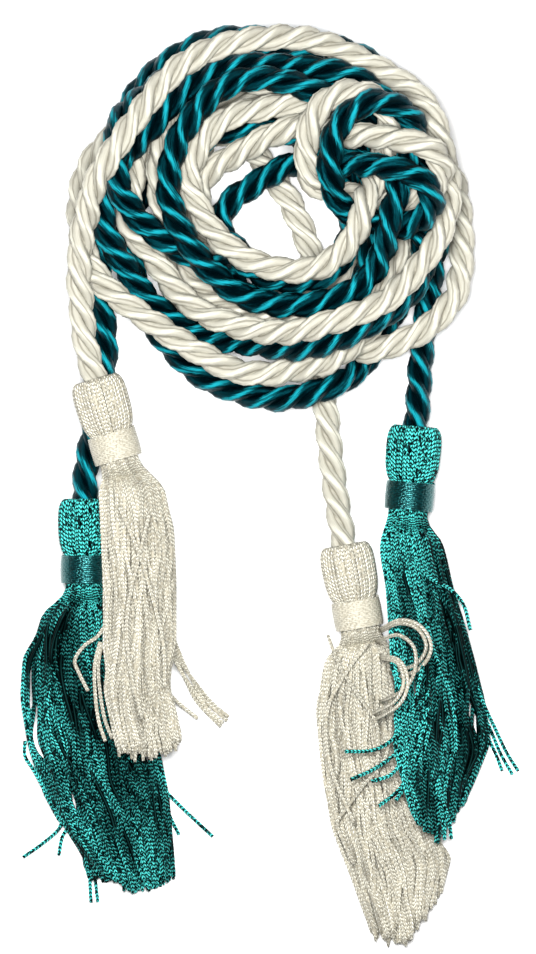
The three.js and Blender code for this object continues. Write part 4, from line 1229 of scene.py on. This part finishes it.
@dataclass
class NodeBoard:
    """A node tree that is being wired up from left to right."""

    tree: bpy.types.NodeTree

    def node(self, kind: str, **settings: object) -> bpy.types.Node:
        """Adds a node and sets its properties."""
        made = self.tree.nodes.new(kind)
        for name, value in settings.items():
            setattr(made, name, value)
        return made

    def feed(self, socket: bpy.types.NodeSocket, value: object) -> None:
        """Links a socket to another one, or sets its value."""
        if isinstance(value, bpy.types.NodeSocket):
            self.tree.links.new(value, socket)
        else:
            socket.default_value = value

    def math(self, operation: str, first: object, second: object = 0.0) -> bpy.types.NodeSocket:
        """Adds a Math node.

        Args:
            operation: What it does.
            first: Its first value or socket.
            second: Its second one.

        Returns:
            Its output.
        """
        made = self.node("ShaderNodeMath", operation=operation)
        self.feed(made.inputs[0], first)
        self.feed(made.inputs[1], second)
        return made.outputs[0]

    def add(self, first: object, second: object) -> bpy.types.NodeSocket:
        """Adds two values."""
        return self.math("ADD", first, second)

    def times(self, first: object, second: object) -> bpy.types.NodeSocket:
        """Multiplies two values."""
        return self.math("MULTIPLY", first, second)

    def rest(self, value: object) -> bpy.types.NodeSocket:
        """Takes a value from 1."""
        return self.math("SUBTRACT", 1.0, value)

    def swing(self, value: object, reach: float) -> bpy.types.NodeSocket:
        """Moves a value between 0 and 1 so that it swings round 0, and scales it."""
        return self.times(self.math("SUBTRACT", value, 0.5), reach)

    def fold(self, share: object) -> bpy.types.NodeSocket:
        """Folds a share, so that it is 1 at both ends and 0 in the middle."""
        return self.math("ABSOLUTE", self.math("SUBTRACT", self.times(share, 2.0), 1.0))

    def noise(
        self, place: object, scale: float, detail: float = 2.0, roughness: float = 0.5
    ) -> bpy.types.NodeSocket:
        """Adds a noise texture.

        Args:
            place: Where it is read.
            scale: Its scale.
            detail: Its number of finer layers.
            roughness: How strong these layers are.

        Returns:
            Its value.
        """
        made = self.node("ShaderNodeTexNoise")
        self.feed(made.inputs["Vector"], place)
        made.inputs["Scale"].default_value = scale
        made.inputs["Detail"].default_value = detail
        made.inputs["Roughness"].default_value = roughness
        return made.outputs["Fac"]

    def remap(self, value: object, low: float, high: float) -> bpy.types.NodeSocket:
        """Eases a value to 0 at the low limit and 1 at the high one."""
        made = self.node("ShaderNodeMapRange", interpolation_type="SMOOTHSTEP")
        self.feed(made.inputs["Value"], value)
        self.feed(made.inputs["From Min"], low)
        self.feed(made.inputs["From Max"], high)
        return made.outputs["Result"]

    def mix(self, share: object, first: object, second: object) -> bpy.types.NodeSocket:
        """Mixes two colours."""
        made = self.node("ShaderNodeMix", data_type="RGBA")
        self.feed(made.inputs[0], share)
        self.feed(made.inputs[6], first)
        self.feed(made.inputs[7], second)
        return made.outputs[2]

    def ring(self, turns: object, along: object, radius: object) -> bpy.types.NodeSocket:
        """Places a point on a ring, so that a texture closes round a strand.

        Args:
            turns: Share of a turn.
            along: Place along the strand.
            radius: Radius of the ring.

        Returns:
            The point.
        """
        angle = self.times(turns, 2 * math.pi)
        point = self.node("ShaderNodeCombineXYZ")
        self.feed(point.inputs[0], along)
        self.feed(point.inputs[1], self.times(self.math("COSINE", angle), radius))
        self.feed(point.inputs[2], self.times(self.math("SINE", angle), radius))
        return point.outputs[0]

    def lay(self) -> tuple[bpy.types.NodeSocket, bpy.types.NodeSocket]:
        """Reads the lay map: millimetres along the strand, and turns round it."""
        mapped = self.node("ShaderNodeUVMap", uv_map=LAY_MAP)
        parts = self.node("ShaderNodeSeparateXYZ")
        self.feed(parts.inputs[0], mapped.outputs[0])
        return parts.outputs[0], parts.outputs[1]


def new_group(
    name: str, inputs: dict[str, float], outputs: tuple[str, ...]
) -> tuple[NodeBoard, bpy.types.Node, bpy.types.Node]:
    """Starts a shader node group.

    Args:
        name: Its name.
        inputs: Names and first values of its inputs.
        outputs: Names of its outputs.

    Returns:
        The board to wire it on, with its input and output nodes.
    """
    tree = bpy.data.node_groups.new(name, "ShaderNodeTree")
    for label, value in inputs.items():
        socket = tree.interface.new_socket(label, in_out="INPUT", socket_type="NodeSocketFloat")
        socket.default_value = value
    for label in outputs:
        tree.interface.new_socket(label, in_out="OUTPUT", socket_type="NodeSocketFloat")
    board = NodeBoard(tree)
    return board, board.node("NodeGroupInput"), board.node("NodeGroupOutput")


@dataclass(frozen=True)
class PlyPattern:
    """The numbers of the satin plies: how fast each noise runs, and how far it reaches."""

    drift_pace: float = 0.05
    drift_scale: float = 2.2
    drift_reach: float = 0.9
    groove_edges: tuple[float, float] = (0.04, 0.5)
    filament_pace: float = 0.12
    filament_scale: float = 1.6
    filament_detail: float = 4.0
    filament_roughness: float = 0.65
    rise: float = 0.75
    fuzz: float = 0.6
    strand_offset: float = 17.0
    sway_pace: float = 0.13
    sway_reach: float = 0.16
    feather_reach: float = 0.8
    highlight_edges: tuple[float, float] = (0.84, 0.95)

    def make(self) -> bpy.types.NodeTree:
        """Makes the group of the plies: rounded ridges, narrow grooves, fine filaments, and a band for
        the painted highlight.
        """
        inputs = {"Along": 0.0, "Round": 0.0, "Plies": 4.0, "Ply Lay": 35.0, "Filaments": 7.0}
        outputs = ("Height", "Groove", "Streak", "Painted Highlight")
        board, entry, leave = new_group("satin_plies", inputs, outputs)
        along, round_it = entry.outputs["Along"], entry.outputs["Round"]
        turned = board.add(round_it, board.math("DIVIDE", along, entry.outputs["Ply Lay"]))
        slow = board.ring(turned, board.times(along, self.drift_pace), 1.0)
        drift = board.noise(slow, self.drift_scale)
        phase = board.times(board.times(turned, entry.outputs["Plies"]), math.pi)
        phase = board.add(phase, board.swing(drift, self.drift_reach))
        ridge = board.math("ABSOLUTE", board.math("COSINE", phase))
        quick = board.times(along, self.filament_pace)
        quick = board.ring(turned, quick, entry.outputs["Filaments"])
        fine = board.noise(quick, self.filament_scale, self.filament_detail, self.filament_roughness)
        height = board.add(board.times(ridge, self.rise), board.times(fine, self.fuzz))
        board.feed(leave.inputs["Height"], height)
        board.feed(leave.inputs["Groove"], board.rest(board.remap(ridge, *self.groove_edges)))
        board.feed(leave.inputs["Streak"], fine)
        # The rest marks a band along each strand's outer line, where a highlight is painted into the
        # colour.
        sway = board.node("ShaderNodeTexNoise", noise_dimensions="1D")
        own = board.times(board.math("FLOOR", round_it), self.strand_offset)
        board.feed(sway.inputs["W"], board.add(own, board.times(along, self.sway_pace)))
        sway.inputs["Scale"].default_value = 1.0
        swayed = board.add(round_it, board.swing(sway.outputs["Fac"], self.sway_reach))
        outer = board.fold(board.math("FRACT", swayed))
        feathered = board.add(outer, board.swing(fine, self.feather_reach))
        board.feed(leave.inputs["Painted Highlight"], board.remap(feathered, *self.highlight_edges))
        return board.tree


@dataclass(frozen=True)
class StitchPattern:
    """The numbers of the knitted strings: columns of slanted loops that meet in a V."""

    border_edge: float = 0.16
    string_offset: float = 900.0
    pick_ring: float = 0.4
    pick_scale: float = 1.1
    pick_detail: float = 1.0
    loop_top: float = 0.9
    taut_edges: tuple[float, float] = (0.3, 0.55)
    gap_edges: tuple[float, float] = (0.17, 0.68)

    def make(self) -> bpy.types.NodeTree:
        """Makes the group of a knitted string."""
        inputs = {"Along": 0.0, "Round": 0.0, "Stitch": 1.1, "Columns": 4.0, "Slant": 0.85, "Open": 0.12}
        board, entry, leave = new_group("chain_stitch", inputs, ("Height", "Gap", "String Tone"))
        along, round_it = entry.outputs["Along"], entry.outputs["Round"]
        chance = board.node("ShaderNodeTexWhiteNoise", noise_dimensions="1D")
        board.feed(chance.inputs["W"], board.math("FLOOR", round_it))
        own = chance.outputs["Value"]
        pairs = board.times(entry.outputs["Columns"], 0.5)
        vee = board.fold(board.math("FRACT", board.times(round_it, pairs)))
        shifted = board.add(board.math("DIVIDE", along, entry.outputs["Stitch"]), own)
        phase = board.add(shifted, board.times(vee, entry.outputs["Slant"]))
        loop = board.math("SINE", board.times(board.math("FRACT", phase), math.pi))
        column = board.remap(board.times(board.rest(vee), vee), 0.0, self.border_edge)
        apart = board.add(along, board.times(own, self.string_offset))
        place = board.ring(round_it, apart, self.pick_ring)
        taut = board.remap(board.noise(place, self.pick_scale, self.pick_detail), *self.taut_edges)
        lifted = board.remap(loop, entry.outputs["Open"], self.loop_top)
        stitch = board.times(board.times(lifted, column), taut)
        board.feed(leave.inputs["Height"], stitch)
        # The gaps between loops get the darker colour as painted shade.
        board.feed(leave.inputs["Gap"], board.rest(board.remap(stitch, *self.gap_edges)))
        board.feed(leave.inputs["String Tone"], own)
        return board.tree


@dataclass(frozen=True)
class Finish:
    """What all yarn finishes share."""

    name: str
    # The first colour is the yarn's own; the second is painted shade in grooves and gaps, and on the
    # ropes also a random drift of tone.
    bright: tuple[float, float, float]
    painted_shade_and_tone: tuple[float, float, float]
    tint: tuple[float, float, float]
    roughness: float
    gloss: float
    bump: float
    lengthwise: float = 0.0
    ior: float = 1.5

    def start(self) -> tuple[bpy.types.Material, NodeBoard, bpy.types.Node]:
        """Starts the material with its shader."""
        material = bpy.data.materials.new(self.name)
        material.use_nodes = True
        board = NodeBoard(material.node_tree)
        shader = board.tree.nodes["Principled BSDF"]
        shader.inputs["Roughness"].default_value = self.roughness
        shader.inputs["Specular IOR Level"].default_value = self.gloss
        shader.inputs["Specular Tint"].default_value = (*self.tint, 1.0)
        shader.inputs["IOR"].default_value = self.ior
        if self.lengthwise > 0:
            shader.inputs["Anisotropic"].default_value = self.lengthwise
            way = board.node("ShaderNodeTangent", direction_type="UV_MAP", uv_map=LAY_MAP)
            board.feed(shader.inputs["Tangent"], way.outputs[0])
        return material, board, shader

    def raise_surface(
        self, board: NodeBoard, shader: bpy.types.Node, height: bpy.types.NodeSocket, depth: float
    ) -> None:
        """Feeds a height to the shader's normal.

        Args:
            board: The material's board.
            shader: Its shader.
            height: The height, from 0 to about 1.
            depth: What a height of 1 stands for, in metres.
        """
        bump = board.node("ShaderNodeBump")
        bump.inputs["Strength"].default_value = self.bump
        bump.inputs["Distance"].default_value = depth
        board.feed(bump.inputs["Height"], height)
        board.feed(shader.inputs["Normal"], bump.outputs[0])


@dataclass(frozen=True)
class SatinRopeFinish(Finish):
    """Twisted satin strands, with a highlight painted along each strand's outer line and shade painted
    in the ply grooves.
    """

    plies: float = 4.0
    # The colour of the highlight painted along each strand's outer line.
    painted_highlight: tuple[float, float, float] = (1.0, 1.0, 1.0)
    drift_edges: tuple[float, float] = (0.35, 0.7)
    drift_share: float = 0.3
    groove_share: float = 0.7
    roughness_swing: float = 0.1
    relief: float = 0.00028

    def make(self, group: bpy.types.NodeTree) -> bpy.types.Material:
        """Makes the material.

        Args:
            group: The group of the plies.

        Returns:
            The material.
        """
        material, board, shader = self.start()
        satin = board.node("ShaderNodeGroup", node_tree=group)
        along, round_it = board.lay()
        board.feed(satin.inputs["Along"], along)
        board.feed(satin.inputs["Round"], round_it)
        satin.inputs["Plies"].default_value = self.plies
        # The ply grooves get the second colour as painted shade, mixed with a random drift of tone.
        drift = board.remap(satin.outputs["Streak"], *self.drift_edges)
        drift = board.times(drift, self.drift_share)
        share = board.add(board.times(satin.outputs["Groove"], self.groove_share), drift)
        colour = board.mix(share, (*self.bright, 1.0), (*self.painted_shade_and_tone, 1.0))
        # Each strand's outer line gets the painted highlight.
        highlight_share = board.times(satin.outputs["Painted Highlight"], board.rest(share))
        colour = board.mix(highlight_share, colour, (*self.painted_highlight, 1.0))
        board.feed(shader.inputs["Base Color"], colour)
        rough = board.times(satin.outputs["Streak"], self.roughness_swing)
        rough = board.add(self.roughness - self.roughness_swing / 2, rough)
        board.feed(shader.inputs["Roughness"], rough)
        self.raise_surface(board, shader, satin.outputs["Height"], self.relief)
        return material


@dataclass(frozen=True)
class KnitStringFinish(Finish):
    """Knitted tassel strings, or wound thread where the stitch is long, with shade painted in the gaps
    between stitches and in hollow spots of a skirt.
    """

    stitch: float = 1.05
    columns: float = 4.0
    slant: float = 0.85
    open_share: float = 0.12
    painted_hollow_shade: float = 0.35
    painted_shade_dimming: float = 1.35
    least_tone: float = 0.86
    tone_range: float = 0.28
    relief: float = 0.00035

    def make(self, group: bpy.types.NodeTree) -> bpy.types.Material:
        """Makes the material.

        Args:
            group: The group of the stitches.

        Returns:
            The material.
        """
        material, board, shader = self.start()
        knit = board.node("ShaderNodeGroup", node_tree=group)
        along, round_it = board.lay()
        board.feed(knit.inputs["Along"], along)
        board.feed(knit.inputs["Round"], round_it)
        knit.inputs["Stitch"].default_value = self.stitch
        knit.inputs["Columns"].default_value = self.columns
        knit.inputs["Slant"].default_value = self.slant
        # The gaps between stitches get the darker colour as painted shade.
        colour = board.mix(knit.outputs["Gap"], (*self.bright, 1.0), (*self.painted_shade_and_tone, 1.0))
        # Where the Open map says a string lies away from the light, its stitches sink and its colour is
        # dimmed, as painted shade.
        shown = board.node("ShaderNodeSeparateXYZ")
        board.feed(shown.inputs[0], board.node("ShaderNodeUVMap", uv_map=OPEN_MAP).outputs[0])
        lost = board.times(board.rest(shown.outputs[0]), self.painted_hollow_shade)
        board.feed(knit.inputs["Open"], board.add(lost, self.open_share))
        # Each string keeps its own random tone, which the painted shade then dims.
        shade = board.times(knit.outputs["String Tone"], self.tone_range)
        shade = board.add(self.least_tone, shade)
        shade = board.times(shade, board.rest(board.times(lost, self.painted_shade_dimming)))
        toned = board.node("ShaderNodeHueSaturation")
        board.feed(toned.inputs["Value"], shade)
        board.feed(toned.inputs["Color"], colour)
        board.feed(shader.inputs["Base Color"], toned.outputs[0])
        self.raise_surface(board, shader, knit.outputs["Height"], self.relief)
        return material


FINISHES = {
    ("rope", Colour.WHITE): SatinRopeFinish(
        name="ivory_satin_rope",
        bright=(0.44, 0.425, 0.355),
        painted_shade_and_tone=(0.19, 0.175, 0.135),
        painted_highlight=(0.64, 0.625, 0.53),
        tint=(1.0, 1.0, 0.94),
        roughness=0.48,
        gloss=0.5,
        bump=0.8,
        lengthwise=0.9,
    ),
    ("rope", Colour.TEAL): SatinRopeFinish(
        name="teal_satin_rope",
        bright=(0.0, 0.0025, 0.004),
        painted_shade_and_tone=(0.0, 0.0008, 0.001),
        painted_highlight=(0.008, 0.28, 0.34),
        tint=(0.03, 0.78, 1.0),
        roughness=0.4,
        gloss=0.35,
        bump=0.6,
        lengthwise=0.9,
    ),
    ("strings", Colour.WHITE): KnitStringFinish(
        name="ivory_knit_string",
        bright=(0.81, 0.785, 0.67),
        painted_shade_and_tone=(0.38, 0.35, 0.27),
        tint=(1.0, 1.0, 0.94),
        roughness=0.5,
        gloss=0.5,
        bump=1.0,
    ),
    ("strings", Colour.TEAL): KnitStringFinish(
        name="teal_knit_string",
        bright=(0.1, 0.82, 0.76),
        painted_shade_and_tone=(0.0, 0.0012, 0.0016),
        tint=(0.2, 1.0, 0.95),
        roughness=0.5,
        gloss=0.12,
        bump=1.0,
        open_share=0.28,
        painted_hollow_shade=0.62,
    ),
    ("wrap", Colour.WHITE): KnitStringFinish(
        name="ivory_wound_thread",
        bright=(0.68, 0.65, 0.545),
        painted_shade_and_tone=(0.4, 0.37, 0.29),
        tint=(1.0, 1.0, 0.94),
        roughness=0.42,
        gloss=0.6,
        bump=0.8,
        stitch=1.6,
        columns=2.0,
    ),
    ("wrap", Colour.TEAL): KnitStringFinish(
        name="teal_wound_thread",
        bright=(0.001, 0.03, 0.034),
        painted_shade_and_tone=(0.0, 0.001, 0.0015),
        tint=(0.2, 0.95, 0.95),
        roughness=0.3,
        gloss=0.9,
        bump=0.5,
        ior=1.6,
        stitch=1.6,
        columns=2.0,
    ),
}


@dataclass(frozen=True)
class Studio:
    """The pale surface, the soft light and the camera that looks straight down."""

    centre: tuple[float, float] = (0.0032, -0.0003)
    seen_height: float = 0.2528
    middle_level: float = 0.013
    camera_height: float = 2.6
    lamp_height: float = 0.75
    lamp_size: float = 0.26
    lamp_power: float = 12.5
    lamp_offset: tuple[float, float] = (-0.02, 0.05)
    ambient: float = 0.11
    surface_half: float = 1.5
    surface_tones: tuple[float, float] = (0.93, 0.96)
    surface_grain: float = 40.0
    surface_roughness: float = 0.9
    surface_gloss: float = 0.1

    def lay_surface(self) -> bpy.types.Object:
        """Makes the pale surface that the cord lies on."""
        sheet = bmesh.new()
        bmesh.ops.create_grid(sheet, x_segments=2, y_segments=2, size=self.surface_half)
        mesh = bpy.data.meshes.new("pale_surface")
        sheet.to_mesh(mesh)
        sheet.free()
        material = bpy.data.materials.new("pale_surface")
        material.use_nodes = True
        board = NodeBoard(material.node_tree)
        shader = board.tree.nodes["Principled BSDF"]
        place = board.node("ShaderNodeTexCoord")
        grain = board.noise(place.outputs["Object"], self.surface_grain)
        dark, light = ((tone, tone, tone, 1.0) for tone in self.surface_tones)
        board.feed(shader.inputs["Base Color"], board.mix(grain, dark, light))
        shader.inputs["Roughness"].default_value = self.surface_roughness
        shader.inputs["Specular IOR Level"].default_value = self.surface_gloss
        return put_in_scene(mesh, "pale_surface", material)

    def hang_lamp(self) -> None:
        """Hangs the softbox over the middle of the cord."""
        lamp = bpy.data.lights.new("softbox", "AREA")
        lamp.shape = "DISK"
        lamp.size = self.lamp_size
        lamp.energy = self.lamp_power
        holder = bpy.data.objects.new("softbox", lamp)
        across, up = self.lamp_offset
        holder.location = (self.centre[0] + across, self.centre[1] + up, self.lamp_height)
        bpy.context.scene.collection.objects.link(holder)
        holder.visible_camera = False

    def fill_with_light(self) -> None:
        """Gives the room its pale ambient light."""
        world = bpy.data.worlds.new("studio")
        world.use_nodes = True
        backdrop = world.node_tree.nodes["Background"]
        backdrop.inputs["Color"].default_value = (1.0, 1.0, 1.0, 1.0)
        backdrop.inputs["Strength"].default_value = self.ambient
        bpy.context.scene.world = world
        bpy.context.scene.view_settings.view_transform = "Standard"

    def place_camera(self) -> None:
        """Places the camera straight above."""
        data = bpy.data.cameras.new("straight_down")
        distance = self.camera_height - self.middle_level
        data.sensor_width = 36.0
        data.lens = data.sensor_width * distance / self.seen_height
        data.clip_end = 10.0
        camera = bpy.data.objects.new("straight_down", data)
        camera.location = (*self.centre, self.camera_height)
        bpy.context.scene.collection.objects.link(camera)
        bpy.context.scene.camera = camera


def dress_ropes(materials: dict[tuple[str, Colour], bpy.types.Material]) -> None:
    """Settles both ropes and builds them.

    Args:
        materials: The finishes by kind and colour.
    """
    first = {Colour.WHITE: Sockets(WHITE_RIGHT), Colour.TEAL: Sockets(TEAL_RIGHT)}
    last = {Colour.WHITE: Sockets(WHITE_LEFT), Colour.TEAL: Sockets(TEAL_LEFT)}
    routes = {Colour.WHITE: WHITE_ROUTE, Colour.TEAL: TEAL_ROUTE}
    sampled = [
        TwistedRope.samples(routes[colour], first[colour], last[colour]) for colour in routes
    ]
    settled = Settling().settle(sampled)
    nodes = {Colour.WHITE: "white_cord", Colour.TEAL: "teal_cord"}
    for colour, laid in zip(routes, settled):
        rope = TwistedRope(nodes[colour] + "_rope", laid)
        piece = rope.build(materials["rope", colour])
        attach(piece, BODY)
        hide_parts(nodes[colour])


def dress_tassel(
    place: TasselPlace, materials: dict[tuple[str, Colour], bpy.types.Material]
) -> None:
    """Builds one tassel with its wrap.

    Args:
        place: Where it lies.
        materials: The finishes by kind and colour.
    """
    tassel = Tassel(place)
    strings = tassel.build(materials["strings", place.colour])
    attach(strings, BODY)
    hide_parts(place.name)
    wrap = tassel.build_wrap(materials["wrap", place.colour])
    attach(wrap, BODY)
    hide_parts(place.wrap_name)


def main() -> None:
    """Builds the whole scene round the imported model."""
    logging.basicConfig(level=logging.INFO, format="%(name)s: %(message)s")
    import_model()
    studio = Studio()
    studio.place_camera()
    groups = {"rope": PlyPattern().make(), "strings": StitchPattern().make()}
    groups["wrap"] = groups["strings"]
    materials = {key: finish.make(groups[key[0]]) for key, finish in FINISHES.items()}
    dress_ropes(materials)
    for place in (WHITE_LEFT, TEAL_LEFT, TEAL_RIGHT, WHITE_RIGHT):
        dress_tassel(place, materials)
    studio.lay_surface()
    studio.hang_lamp()
    studio.fill_with_light()


if __name__ == "__main__":
    main()
